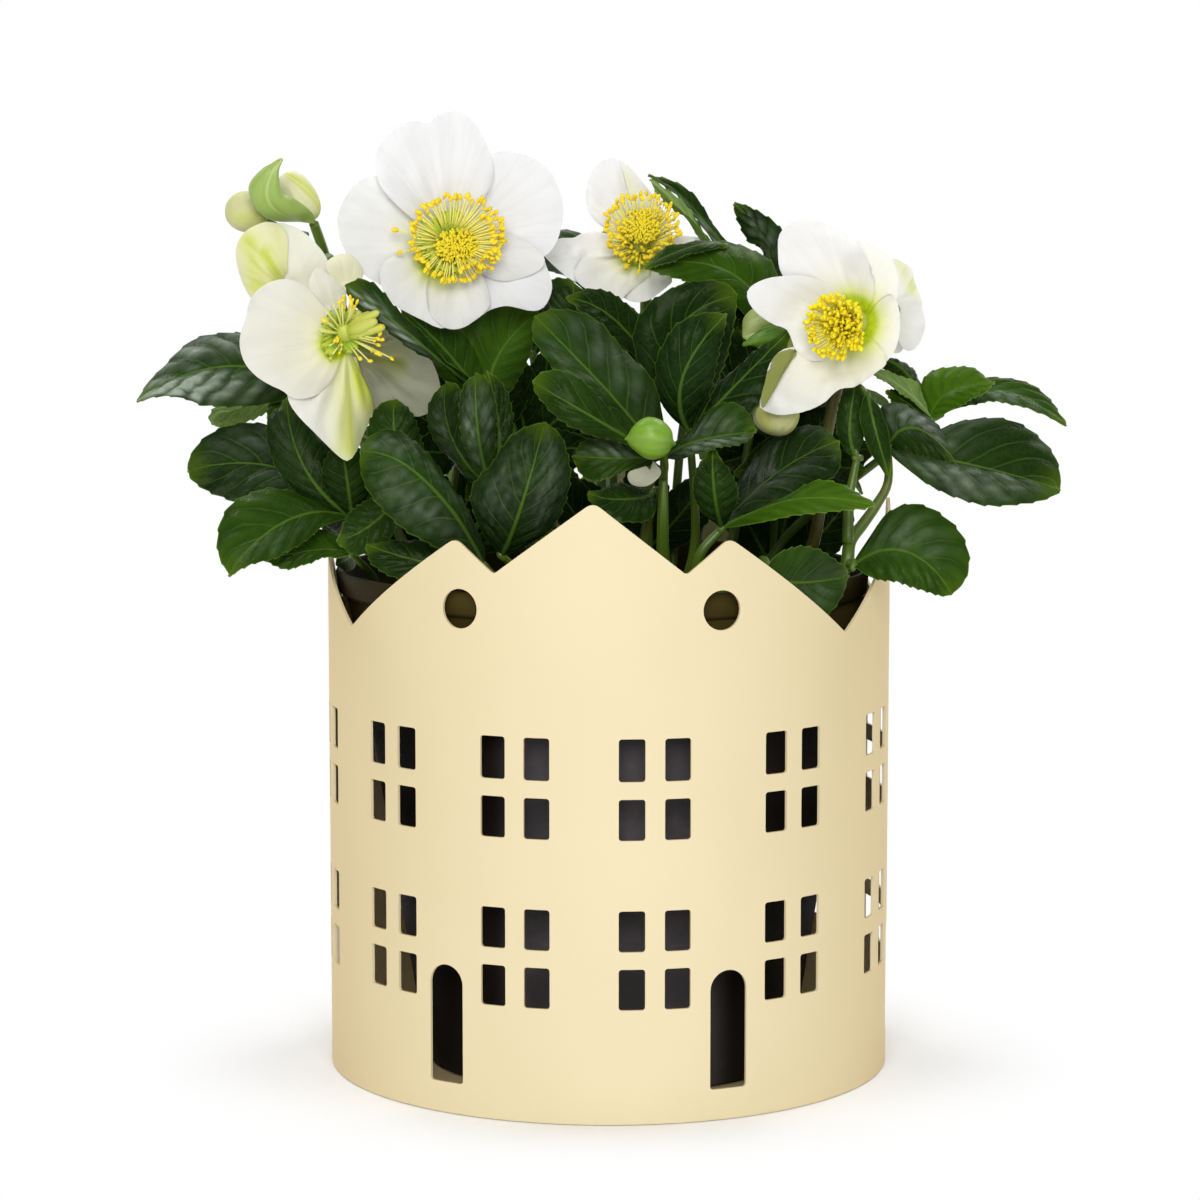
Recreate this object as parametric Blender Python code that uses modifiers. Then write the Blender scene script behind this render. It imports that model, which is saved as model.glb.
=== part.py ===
"""Potted hellebore in a sheet-metal pot sleeve cut as a row of gabled houses.

Metres, +Z up. The origin is the centre of the sleeve's foot, on the surface it stands on.
-Y is the front, where the flowers face.
"""

import math

import bmesh
import bpy
import numpy as np
from mathutils import Matrix, Vector

MM = 0.001

# Sleeve: rolled sheet, open at the top, its top edge a skyline of gables.
SLEEVE_R = 100.0          # outer radius
SHEET = 1.0               # sheet thickness
COLUMNS = [-47.8, -18.4, 8.9, 38.8, 69.9, 101.0, 131.5, 161.5, -168.5, -138.5, -109.0, -78.6]
PANE_IN, PANE_OUT = 1.9, 7.0          # degrees from a column's centre line to a pane's sides
PANE_ROWS = [(39.1, 53.0), (58.9, 72.8), (96.6, 110.5), (116.4, 130.8)]
DOORS = [-33.4, 23.8, 85.4, 146.5, -153.5, -93.8]
DOOR_W, DOOR_SILL, DOOR_TOP = 13.4, 10.5, 51.2
ATTIC = [(-29.9, 172.8), (22.1, 173.0), (150.1, 172.8), (-157.9, 173.0)]
ATTIC_R = 6.7
# Skyline: (degrees from the front, height). The back repeats the front's houses.
SKYLINE = [
    (-180.0, 208.6), (-162.1, 185.4), (-156.4, 195.9), (-126.1, 161.3), (-113.0, 176.5),
    (-102.0, 164.0), (-89.0, 190.0), (-62.6, 161.6), (-30.8, 196.4), (-22.5, 185.0),
    (-3.0, 209.6), (14.9, 185.2), (23.6, 197.0), (53.9, 161.3), (91.0, 204.0),
    (101.0, 162.0), (113.0, 174.0), (122.0, 161.6), (149.2, 195.3), (157.5, 185.3),
    (180.0, 208.6),
]

BASE_T = 1.0
POT_FOOT_R, POT_RIM_R, POT_TOP, POT_WALL = 66.0, 95.0, 178.0, 1.5
POT_FOOT_Z = 1.4
SOIL_TOP = 160.0
GAP = 0.4

BLADE_T = 0.9             # thickness of leaflets and sepals here
STATION = np.array([0.0, -1281.35, 318.58])   # viewing station of the front elevation sketch
PITCH, YAW, DISTANCE = math.radians(6.818), math.radians(-0.1413), 3610.6

for stale in list(bpy.data.objects):
    bpy.data.objects.remove(stale, do_unlink=True)
model = bpy.data.collections.new("Potted hellebore")
cutters = bpy.data.collections.new("Cutters")
bpy.context.scene.collection.children.link(model)
bpy.context.scene.collection.children.link(cutters)


# ---------------------------------------------------------------- helpers
def sketch(u, v, d):
    """A point of the front elevation sketch, u to the right and v down from its corner at 600
    units from the sight line, at a depth of d mm behind the pot's axis."""
    cx, up = (u - 600.0) / DISTANCE, (600.0 - v) / DISTANCE
    cy = math.cos(PITCH) + up * math.sin(PITCH)
    dz = -math.sin(PITCH) + up * math.cos(PITCH)
    ray = np.array([cx * math.cos(YAW) + cy * math.sin(YAW), -cx * math.sin(YAW) + cy * math.cos(YAW), dz])
    return STATION + ray * ((d - STATION[1]) / ray[1])


def material(name, colour, roughness, metallic=0.0):
    found = bpy.data.materials.get(name)
    if found:
        return found
    made = bpy.data.materials.new(name)
    made.use_nodes = True
    shader = made.node_tree.nodes["Principled BSDF"]
    shader.inputs["Base Color"].default_value = (*colour, 1.0)
    shader.inputs["Roughness"].default_value = roughness
    shader.inputs["Metallic"].default_value = metallic
    return made


SHADES = {
    "coat": ((0.93, 0.82, 0.56), 0.45),
    "plastic": ((0.012, 0.011, 0.010), 0.55),
    "soil": ((0.035, 0.022, 0.012), 0.95),
    "leaf": ((0.020, 0.075, 0.018), 0.35),
    "stem": ((0.11, 0.26, 0.03), 0.45),
    "sepal": ((0.86, 0.86, 0.82), 0.5),
    "sepal_green": ((0.62, 0.70, 0.32), 0.5),
    "stamen": ((0.85, 0.62, 0.03), 0.6),
    "bract": ((0.20, 0.42, 0.04), 0.45),
}


def paint(obj, shade):
    colour, roughness = SHADES[shade]
    obj.data.materials.clear()
    obj.data.materials.append(material(obj.name + "_" + shade, colour, roughness))


def place(obj, collection):
    for old in list(obj.users_collection):
        old.objects.unlink(obj)
    collection.objects.link(obj)
    if collection is cutters:
        obj.hide_render = True
        obj.display_type = "WIRE"
    return obj


def mesh_object(name, points, faces, collection=None, smooth=True):
    data = bpy.data.meshes.new(name)
    data.from_pydata([tuple(float(c) * MM for c in p) for p in points], [], faces)
    data.validate()
    obj = bpy.data.objects.new(name, data)
    (collection or model).objects.link(obj)
    if collection is cutters:
        obj.hide_render = True
        obj.display_type = "WIRE"
    if smooth:
        data.shade_smooth()
        data.set_sharp_from_angle(angle=math.radians(40))
    return obj


def boolean(target, other, operation, solver="EXACT"):
    step = target.modifiers.new(operation.lower() + "_" + other.name, "BOOLEAN")
    step.operation = operation
    step.solver = solver
    step.object = other


def smooth_route(points, count):
    """Points read evenly from a Catmull-Rom curve through the given ones."""
    p = [np.asarray(q, float) for q in points]
    if len(p) == 2:
        return [p[0] + (p[1] - p[0]) * i / (count - 1) for i in range(count)]
    p = [2 * p[0] - p[1]] + p + [2 * p[-1] - p[-2]]
    spans, out = len(p) - 3, []
    for i in range(count):
        t = i * spans / (count - 1)
        k = min(int(t), spans - 1)
        t -= k
        a, b, c, d = p[k:k + 4]
        out.append(0.5 * (2 * b + (c - a) * t + (2 * a - 5 * b + 4 * c - d) * t * t
                          + (3 * b - a - 3 * c + d) * t ** 3))
    return out


def rooted(points, count):
    """A smooth route that leaves the soil upright."""
    foot = np.asarray(points[0], float)
    return [foot] + smooth_route([foot + np.array([0, 0, 5.0])] + list(points[1:]), count)


def tube(name, points, radius, radius_end=None, collection=None):
    """A round stem as a POLY curve with a bevel and filled caps."""
    curve = bpy.data.curves.new(name, "CURVE")
    curve.dimensions = "3D"
    curve.bevel_depth = radius * MM
    curve.bevel_resolution = 1
    curve.use_fill_caps = True
    line = curve.splines.new("POLY")
    line.points.add(len(points) - 1)
    end = radius_end or radius
    for i, p in enumerate(points):
        line.points[i].co = (*(np.asarray(p) * MM), 1.0)
        line.points[i].radius = 1.0 + (end / radius - 1.0) * i / (len(points) - 1)
    obj = bpy.data.objects.new(name, curve)
    (collection or model).objects.link(obj)
    if collection is cutters:
        obj.hide_render = True
        obj.display_type = "WIRE"
    return obj


def as_mesh(obj, name, collection):
    """The evaluated mesh of a curve, its caps welded, as an object of its own."""
    bpy.context.view_layer.update()
    graph = bpy.context.evaluated_depsgraph_get()
    data = bpy.data.meshes.new_from_object(obj.evaluated_get(graph))
    form = bmesh.new()
    form.from_mesh(data)
    bmesh.ops.remove_doubles(form, verts=form.verts, dist=1e-6)
    bmesh.ops.recalc_face_normals(form, faces=form.faces)
    form.to_mesh(data)
    form.free()
    made = bpy.data.objects.new(name, data)
    made.matrix_world = obj.matrix_world
    collection.objects.link(made)
    bpy.data.objects.remove(obj, do_unlink=True)
    return made


def turned(name, profile, steps, collection=None):
    """A turned solid: profile points (radius, height) from the top outer edge down, then back up."""
    data = bpy.data.meshes.new(name)
    count = len(profile)
    data.from_pydata([(r * MM, 0, z * MM) for r, z in profile], [(i, i + 1) for i in range(count - 1)], [])
    obj = bpy.data.objects.new(name, data)
    (collection or model).objects.link(obj)
    screw = obj.modifiers.new("turn", "SCREW")
    screw.axis = "Z"
    screw.steps = screw.render_steps = steps
    screw.use_merge_vertices = True
    screw.merge_threshold = 0.00001
    screw.use_smooth_shade = True
    return obj


# ---------------------------------------------------------------- sleeve
def on_wall(angle, z, r):
    a = math.radians(angle)
    return (r * math.sin(a), -r * math.cos(a), z)


def skyline(angle):
    for (a0, z0), (a1, z1) in zip(SKYLINE, SKYLINE[1:]):
        if a0 <= angle <= a1:
            return z0 + (z1 - z0) * (angle - a0) / (a1 - a0)
    raise ValueError(angle)


def make_sleeve():
    """A rolled sheet: a cell grid with the pane cells left out, given its thickness by Solidify."""
    lines = {round(a, 3) for a, _ in SKYLINE if a > -180}
    for centre in COLUMNS:
        lines |= {round(centre + side, 3) for side in (-PANE_OUT, -PANE_IN, PANE_IN, PANE_OUT)}
    lines = sorted(((a + 180) % 360 - 180) or 0.0 for a in lines)
    # thin out grid lines that nearly coincide, and fill the wide cells
    kept = []
    for a in lines:
        is_pane = any(abs(abs((a - c + 180) % 360 - 180) - side) < 0.01 for c in COLUMNS for side in (PANE_IN, PANE_OUT))
        if kept and a - kept[-1][0] < 0.9:
            if is_pane and not kept[-1][1]:
                kept[-1] = (a, True)
            elif is_pane or not kept[-1][1]:
                pass
            continue
        kept.append((a, is_pane))
    lines = [a for a, _ in kept]
    full = []
    for a, b in zip(lines, lines[1:] + [lines[0] + 360]):
        full.append(a)
        parts = max(1, math.ceil((b - a) / 8.2))
        full += [a + (b - a) * i / parts for i in range(1, parts)]
    lines = [(a + 180) % 360 - 180 for a in full]
    rows = [0.0] + [z for pair in PANE_ROWS for z in pair] + [150.0]
    r = SLEEVE_R
    points, faces = [], []
    for a in lines:
        for z in rows:
            points.append(on_wall(a, z, r))
        points.append(on_wall(a, skyline(a), r))
    n = len(rows) + 1
    for i, a in enumerate(lines):
        b = lines[(i + 1) % len(lines)]
        middle = a + ((b - a) % 360) / 2
        pane_column = any(PANE_IN < abs((middle - c + 180) % 360 - 180) < PANE_OUT for c in COLUMNS)
        for k in range(n - 1):
            if pane_column and k < len(rows) - 1 and k % 2 == 1:
                continue
            j = ((i + 1) % len(lines)) * n
            faces.append((i * n + k, j + k, j + k + 1, i * n + k + 1))
    obj = mesh_object("pot_sleeve", points, faces)
    thick = obj.modifiers.new("sheet", "SOLIDIFY")
    thick.thickness = SHEET * MM
    thick.offset = -1.0
    thick.use_even_offset = True
    for number, angle in enumerate(DOORS):
        boolean(obj, door_cutter(f"door_cut_{number}", angle), "DIFFERENCE")
    for number, (angle, z) in enumerate(ATTIC):
        boolean(obj, attic_cutter(f"attic_cut_{number}", angle, z), "DIFFERENCE")
    paint(obj, "coat")
    return obj


def prism(name, outline, angle, z):
    """An outline (across, up) in mm pushed through the wall at an angle and a height."""
    a = math.radians(angle)
    out, side = np.array([math.sin(a), -math.cos(a), 0]), np.array([math.cos(a), math.sin(a), 0])
    base = np.array([0, 0, z])
    points = [base + out * depth + side * x + np.array([0, 0, y]) for depth in (105.0, 92.0) for x, y in outline]
    n = len(outline)
    faces = [tuple(range(n)), tuple(reversed(range(n, 2 * n)))]
    faces += [((i + 1) % n, i, n + i, n + (i + 1) % n) for i in range(n)]
    obj = mesh_object(name, points, faces, cutters, smooth=False)
    form = bmesh.new()
    form.from_mesh(obj.data)
    bmesh.ops.recalc_face_normals(form, faces=form.faces)
    form.to_mesh(obj.data)
    form.free()
    return obj


def door_cutter(name, angle):
    half = DOOR_W / 2
    spring = DOOR_TOP - half
    arch = [(half * math.cos(math.radians(t)), spring + half * math.sin(math.radians(t))) for t in range(0, 181, 30)]
    return prism(name, [(-half, DOOR_SILL), (half, DOOR_SILL)] + arch, angle, 0.0)


def attic_cutter(name, angle, z):
    ring = [(ATTIC_R * math.cos(t * math.pi / 6), ATTIC_R * math.sin(t * math.pi / 6)) for t in range(12)]
    return prism(name, ring, angle, z)


make_sleeve()

plate = turned("base_plate", [(0, BASE_T), (SLEEVE_R - SHEET - GAP, BASE_T), (SLEEVE_R - SHEET - GAP, 0), (0, 0)], 40)
paint(plate, "coat")

pot_inner = POT_WALL
pot = turned("nursery_pot", [
    (POT_RIM_R, POT_TOP), (POT_RIM_R, POT_TOP - 7), (POT_RIM_R - 3.0, POT_TOP - 8),
    (POT_FOOT_R, POT_FOOT_Z), (0, POT_FOOT_Z), (0, POT_FOOT_Z + POT_WALL),
    (POT_FOOT_R - POT_WALL, POT_FOOT_Z + POT_WALL), (POT_RIM_R - 3.0 - POT_WALL, POT_TOP), (POT_RIM_R, POT_TOP),
], 32)
paint(pot, "plastic")


def pot_inside(z):
    k = (z - POT_FOOT_Z - POT_WALL) / (POT_TOP - POT_FOOT_Z - POT_WALL)
    return (POT_FOOT_R - POT_WALL) * (1 - k) + (POT_RIM_R - 3.0 - POT_WALL) * k


foot_z = POT_FOOT_Z + POT_WALL + GAP
soil = turned("potting_soil", [
    (0, SOIL_TOP), (pot_inside(SOIL_TOP) - 1.2, SOIL_TOP), (pot_inside(foot_z) - 1.2, foot_z), (0, foot_z),
], 32)
paint(soil, "soil")


# ---------------------------------------------------------------- leaves
FINE, COARSE = (0, .26, .58, .85, 1.0), (0, .34, .72, 1.0)


def blade(name, b, m, t, l, r, stations=FINE, collection=None):
    """A leaflet: a spine from base to tip through m, where the edges l and r are widest."""
    b, m, t, l, r = (np.asarray(p, float) for p in (b, m, t, l, r))
    km = 0.58

    def spine(s):
        return (b * (s - km) * (s - 1) / km + m * s * (s - 1) / (km * (km - 1)) + t * s * (s - km) / (1 - km))

    def heading(s):
        d = spine(s + 0.01) - spine(s - 0.01)
        return d / np.linalg.norm(d)

    def turned_with(v, s):
        """An edge's offset, carried round as the midrib bends."""
        a, c = heading(km), heading(s)
        axis = np.cross(a, c)
        return v + np.cross(axis, v) + np.cross(axis, np.cross(axis, v)) / (1 + a @ c)

    def width(s):
        return max((s ** 0.95 * (1 - s) ** 0.69) / 0.3276, 0.0)

    rows = []
    for s in stations:
        w = width(s)
        left, right = turned_with(l - m, s) * w, turned_with(r - m, s) * w
        least = 1.5 if s < 0.5 else 0.7
        for side, edge in ((left, l), (right, r)):
            size = np.linalg.norm(side)
            if size < least:
                side[:] = (edge - m) / max(np.linalg.norm(edge - m), 1e-6) * least
        c = spine(s)
        rows.append([c + left, c, c + right])
    return sheet(name, rows, collection)


def sheet(name, rows, collection=None, closed=False):
    """A thin closed solid from a grid of points, BLADE_T thick."""
    grid = np.array(rows)
    du = np.gradient(grid, axis=0)
    dv = np.gradient(grid, axis=1)
    normal = np.cross(du, dv)
    normal /= np.maximum(np.linalg.norm(normal, axis=2, keepdims=True), 1e-9)
    nr, nc = grid.shape[:2]
    points = list((grid + normal * BLADE_T / 2).reshape(-1, 3)) + list((grid - normal * BLADE_T / 2).reshape(-1, 3))
    n = nr * nc
    faces = []
    for i in range(nr - 1):
        for j in range(nc - 1):
            q = (i * nc + j, (i + 1) * nc + j, (i + 1) * nc + j + 1, i * nc + j + 1)
            faces.append(q)
            faces.append(tuple(n + k for k in reversed(q)))
    edge = [i * nc for i in range(nr)] + [(nr - 1) * nc + j for j in range(1, nc)]
    edge += [i * nc + nc - 1 for i in range(nr - 2, -1, -1)] + [j for j in range(nc - 2, 0, -1)]
    for i, a in enumerate(edge):
        c = edge[(i + 1) % len(edge)]
        faces.append((c, a, n + a, n + c))
    obj = mesh_object(name, points, faces, collection)
    form = bmesh.new()
    form.from_mesh(obj.data)
    bmesh.ops.recalc_face_normals(form, faces=form.faces)
    form.to_mesh(obj.data)
    form.free()
    return obj


def knob(name, centre, radius, collection):
    bpy.ops.mesh.primitive_ico_sphere_add(subdivisions=1, radius=radius * MM, location=tuple(np.asarray(centre) * MM))
    obj = bpy.context.object
    obj.name = name
    bpy.ops.object.transform_apply(location=True)
    return place(obj, collection)


def on_stalk(obj, points, radius=1.0):
    """Joins a short stalk to a bud or a bract; its far end stops just short of the stem it grows from."""
    stalk = as_mesh(tube(obj.name + "_stalk_guide", smooth_route(points, 5), radius, collection=cutters),
                    obj.name + "_stalk", cutters)
    stalk.hide_render, stalk.display_type = True, "WIRE"
    boolean(obj, stalk, "UNION", "MANIFOLD")


def foot_of(hub, share=0.45, reach=62.0):
    """Where a stem rises from the soil: inward from its hub, so that the stems fan out and don't cross."""
    x, y = hub[0] * share, hub[1] * share
    size = math.hypot(x, y)
    if size > reach:
        x, y = x * reach / size, y * reach / size
    return np.array([x, y, SOIL_TOP + GAP])


def leaf(name, hub, leaflets, route=None, stalk=1.7, share=0.45, more=(), stations=FINE):
    """One compound leaf: a petiole from the soil to the hub and leaflets that spread from it.
    A branching stem has more hubs, each with the route of its branch and its own leaflets."""
    hub = np.asarray(hub, float)
    if route is None:
        foot = foot_of(hub, share)
        route = [foot, foot + (hub - foot) * [0.35, 0.35, 0.6], hub]
    else:
        route = list(route) + [hub]
    body = as_mesh(tube(name + "_stalk", rooted(route, 8), stalk, 1.5, cutters), name, model)
    body.data.name = name
    # EXACT loses some of these thin joins; every solid here is closed, so MANIFOLD holds them
    boolean(body, knob(name + "_hub", hub, 3.4, cutters), "UNION", "MANIFOLD")
    for number, (b, m, t, l, r) in enumerate(leaflets):
        boolean(body, blade(f"{name}_leaflet_{number}", b, m, t, l, r, stations, cutters), "UNION", "MANIFOLD")
    for branch, (way, end, extra) in enumerate(more):
        side = as_mesh(tube(f"{name}_branch_{branch}", smooth_route(list(way) + [end], 5), stalk * 0.8, 1.3, cutters),
                       f"{name}_side_{branch}", cutters)
        side.hide_render, side.display_type = True, "WIRE"
        boolean(body, side, "UNION", "MANIFOLD")
        boolean(body, knob(f"{name}_hub_{branch}", end, 2.8, cutters), "UNION", "MANIFOLD")
        for number, (b, m, t, l, r) in enumerate(extra):
            boolean(body, blade(f"{name}_side_{branch}_leaflet_{number}", b, m, t, l, r, collection=cutters),
                    "UNION", "MANIFOLD")
    paint(body, "leaf")
    return body


def drawn(*rows):
    """Leaflets drawn on the front elevation sketch: base, middle, tip, left and right edge."""
    return [tuple(sketch(*p) for p in row) for row in rows]


def fan(hub, heading, count, spread, length, width, lift=10.0, droop=12.0, tilt=0.0):
    """Leaflets of a leaf seen from no particular side: they spread about a heading in degrees."""
    hub = np.asarray(hub, float)
    out = []
    for k in range(count):
        f = (k / (count - 1) - 0.5) * 2 if count > 1 else 0.0
        a = math.radians(heading + f * spread)
        size = length * (1.0 - 0.22 * abs(f)) * (1.0 + 0.06 * math.sin(7.0 * k + heading))
        d = np.array([math.sin(a), -math.cos(a), 0.0])
        side = np.array([math.cos(a), math.sin(a), 0.0])
        up = np.array([0.0, 0.0, 1.0])
        slope = tilt * (1 - 0.5 * abs(f))
        m = hub + d * size * 0.56 + up * (lift + slope * 0.56)
        t = hub + d * size + up * (slope - droop + 3.0 * math.sin(3.0 * k))
        half = width * 0.5 * (1.0 - 0.15 * abs(f))
        roll = 6.0 * f
        out.append((hub, m, t, m - side * half + up * (3.0 + roll), m + side * half + up * (3.0 - roll)))
    return out


P = sketch

# Left side
HUB_LH = P(306, 388, 8)
leaf("leaf_left_high", HUB_LH, drawn(
    ((306, 388, 8), (215, 371, -4), (137, 402, -16), (203, 336, 12), (206, 407, -16)),
    ((306, 388, 8), (250, 402, 14), (211, 421, 8), (240, 389, 20), (247, 426, 16)),
))
HUB_LF = P(352, 517, -34)
leaf("leaf_left_fan", HUB_LF, drawn(
    ((352, 517, -34), (285, 529, -52), (231, 574, -66), (262, 497, -44), (296, 552, -60)),
    ((352, 517, -34), (262, 464, -24), (188, 471, -30), (250, 424, -10), (243, 503, -36)),
    ((352, 517, -34), (300, 458, -36), (287, 398, -26), (268, 446, -30), (331, 450, -32)),
    ((352, 517, -34), (346, 474, -44), (340, 436, -42), (322, 478, -42), (373, 470, -40)),
    ((352, 517, -34), (376, 488, -32), (394, 462, -26), (362, 474, -30), (390, 500, -34)),
), route=[(-30, -8, SOIL_TOP + GAP), (-62, -16, 176)])
HUB_LL = P(352, 554, -44)
leaf("leaf_left_low", HUB_LL, drawn(
    ((352, 554, -44), (305, 556, -46), (263, 561, -49), (300, 539, -38), (300, 569, -52)),
), route=[(-60, -16, SOIL_TOP + GAP), P(378, 600, -16), P(373, 577, -20)], stalk=2.2)
HUB_ML = P(412, 480, -50)
leaf("leaf_mid_left", HUB_ML, drawn(
    ((412, 480, -50), (396, 432, -54), (397, 400, -48), (366, 430, -52), (425, 440, -50)),
    ((412, 480, -50), (368, 528, -48), (337, 541, -50), (354, 509, -46), (378, 549, -52)),
), route=[(-36, -26, SOIL_TOP + GAP), (-48, -36, 180)])
HUB_FL = P(484, 566, -58)
leaf("leaf_front_left", HUB_FL, drawn(
    ((484, 566, -58), (425, 484, -72), (362, 453, -68), (444, 450, -64), (388, 524, -78)),
    ((484, 566, -58), (415, 560, -62), (367, 545, -58), (425, 540, -58), (393, 577, -64)),
), route=[(-26, -40, SOIL_TOP + GAP), (-32, -50, 172)])
HUB_FM = P(492, 488, -48)
leaf("leaf_front_mid", HUB_FM, drawn(
    ((492, 488, -48), (481, 425, -60), (474, 374, -56), (459, 420, -58), (498, 412, -58)),
    ((492, 488, -48), (500, 412, -46), (487, 368, -40), (482, 400, -44), (515, 415, -44)),
    ((492, 488, -48), (452, 424, -48), (430, 398, -46), (462, 384, -42), (436, 456, -54)),
), route=[(-20, -26, SOIL_TOP + GAP), (-26, -36, 180)])
HUB_FQ = P(502, 556, -64)
leaf("leaf_front_quilted", HUB_FQ, drawn(
    ((502, 556, -64), (526, 494, -74), (549, 424, -66), (468, 497, -70), (574, 482, -72)),
), route=[(-14, -46, SOIL_TOP + GAP), (-24, -56, 176)])
HUB_UL = P(488, 402, -26)
leaf("leaf_upper_left", HUB_UL, drawn(
    ((488, 402, -26), (402, 324, -46), (350, 284, -50), (406, 305, -42), (386, 345, -48)),
    ((488, 402, -26), (432, 344, -30), (408, 313, -32), (448, 332, -24), (424, 362, -34)),
    ((488, 402, -26), (492, 348, -20), (513, 307, -12), (447, 353, -22), (538, 338, -18)),
), route=[(-16, -12, SOIL_TOP + GAP), (-24, -16, 200)])

# Centre: a leafy stem
HUB_C = P(664, 458, -54)
leaf("stem_centre_leaves", HUB_C, drawn(
    ((664, 458, -54), (592, 376, -60), (532, 322, -54), (631, 346, -50), (556, 404, -66)),
    ((664, 458, -54), (588, 413, -72), (533, 383, -70), (604, 383, -68), (566, 433, -76)),
    ((664, 458, -54), (714, 431, -62), (755, 428, -62), (721, 402, -56), (723, 451, -68)),
    ((664, 458, -54), (618, 457, -62), (573, 461, -60), (611, 440, -58), (612, 477, -66)),
), route=[(20, -40, SOIL_TOP + GAP), P(663, 560, -50), P(663, 505, -56)], stalk=2.6)
HUB_TM = P(656, 374, -16)
leaf("leaf_top_mid", HUB_TM, drawn(
    ((656, 374, -16), (584, 316, -20), (573, 282, -18), (549, 305, -22), (604, 300, -16)),
    ((656, 374, -16), (607, 314, -30), (566, 298, -34), (620, 299, -26), (600, 330, -34)),
), route=[(8, -6, SOIL_TOP + GAP), (14, -8, 200)])
HUB_UM = P(690, 434, -38)
leaf("leaf_upper_mid", HUB_UM, drawn(
    ((690, 434, -38), (684, 372, -50), (713, 316, -46), (656, 368, -50), (724, 364, -48)),
    ((690, 434, -38), (674, 334, -40), (736, 297, -34), (640, 316, -38), (706, 346, -40)),
    ((690, 434, -38), (738, 384, -36), (791, 329, -30), (724, 377, -32), (758, 406, -40)),
), route=[(24, -22, SOIL_TOP + GAP), (30, -30, 190)])
HUB_TR = P(768, 330, 0)
leaf("leaf_top_right", HUB_TR, drawn(
    ((768, 330, 0), (704, 226, 6), (648, 176, -2), (712, 205, 10), (692, 226, 2)),
    ((768, 330, 0), (762, 232, 18), (732, 205, 10), (781, 222, 22), (744, 240, 12)),
    ((768, 330, 0), (716, 274, -14), (648, 268, -24), (742, 246, -4), (700, 302, -22)),
), route=[(40, 0, SOIL_TOP + GAP), (46, 0, 200)])
HUB_LM = P(655, 492, -48)
leaf("leaf_low_mid", HUB_LM, drawn(
    ((655, 492, -48), (620, 501, -62), (588, 493, -62), (614, 484, -56), (627, 524, -68)),
), route=[(6, -34, SOIL_TOP + GAP), (10, -42, 180)])

# Right side
HUB_R = P(722, 528, -56)
leaf("leaf_right_big", HUB_R, drawn(
    ((722, 528, -56), (714, 486, -66), (713, 449, -62), (693, 488, -64), (738, 490, -64)),
    ((722, 528, -56), (785, 472, -46), (841, 450, -40), (768, 436, -24), (815, 504, -58)),
    ((722, 528, -56), (812, 500, -68), (878, 507, -66), (822, 482, -62), (803, 519, -72)),
), route=[(30, -44, SOIL_TOP + GAP), P(698, 560, -56)], stalk=2.2)
HUB_RS = P(888, 448, -28)
leaf("stem_right_leaves", HUB_RS, drawn(
    ((888, 448, -28), (968, 463, -40), (1059, 490, -46), (986, 419, -26), (975, 504, -54)),
    ((888, 448, -28), (920, 430, -18), (954, 452, -16), (926, 406, -12), (905, 456, -24)),
), route=[(62, -12, SOIL_TOP + GAP), (78, -24, 175), P(850, 560, -42), P(858, 530, -36), P(876, 500, -32)], stalk=2.4,
     more=[([P(850, 560, -42)], P(857, 567, -54), drawn(
         ((857, 567, -54), (912, 549, -50), (951, 595, -56), (944, 521, -42), (888, 586, -58)))),
           ([P(856, 536, -37), P(863, 500, -34)], P(868, 470, -32), [])])
HUB_RH = P(931, 420, 4)
leaf("leaf_right_high", HUB_RH, drawn(
    ((931, 420, 4), (953, 393, 2), (994, 384, -4), (939, 368, 10), (973, 406, -6)),
    ((931, 420, 4), (1005, 392, 10), (1066, 426, 4), (1018, 381, 16), (1000, 403, 6)),
    ((931, 420, 4), (900, 388, -8), (868, 371, -10), (914, 376, 0), (892, 404, -14)),
    ((931, 420, 4), (904, 369, 18), (880, 358, 18), (915, 366, 22), (894, 377, 14)),
), route=[(52, 8, SOIL_TOP + GAP), (66, 6, 190)])
HUB_RB = P(764, 606, -54)
leaf("leaf_right_bottom", HUB_RB, drawn(
    ((764, 606, -54), (806, 576, -46), (836, 581, -34), (803, 545, -50), (818, 606, -40)),
), route=[(40, -38, SOIL_TOP + GAP), (48, -44, 166)])

# Low inside, behind the stems
leaf("leaf_inner_left", P(446, 560, 24), drawn(
    ((446, 560, 24), (440, 505, 18), (432, 466, 16), (422, 505, 16), (458, 500, 20)),
    ((446, 560, 24), (466, 500, 26), (474, 455, 30), (448, 496, 24), (486, 506, 28)),
    ((446, 560, 24), (505, 515, 30), (545, 480, 34), (492, 495, 32), (518, 536, 28)),
), route=[(-34, 22, SOIL_TOP + GAP), (-44, 23, 172)])
leaf("leaf_inner_mid", P(640, 556, 26), drawn(
    ((640, 556, 26), (596, 510, 14), (566, 478, 12), (584, 526, 10), (608, 494, 12)),
    ((640, 556, 26), (646, 494, 36), (642, 448, 42), (622, 492, 36), (670, 498, 34)),
    ((640, 556, 26), (686, 508, 22), (712, 470, 24), (668, 494, 24), (706, 524, 20)),
), route=[(6, 28, SOIL_TOP + GAP), (10, 28, 176)])
leaf("leaf_inner_right", P(772, 566, 20), drawn(
    ((772, 566, 20), (742, 510, 22), (726, 462, 22), (722, 520, 20), (764, 502, 24)),
    ((772, 566, 20), (790, 500, 28), (796, 448, 30), (768, 496, 28), (814, 504, 26)),
    ((772, 566, 20), (822, 532, 20), (852, 492, 22), (806, 508, 22), (838, 552, 16)),
), route=[(56, 23, SOIL_TOP + GAP), (58, 22, 168)])

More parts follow.
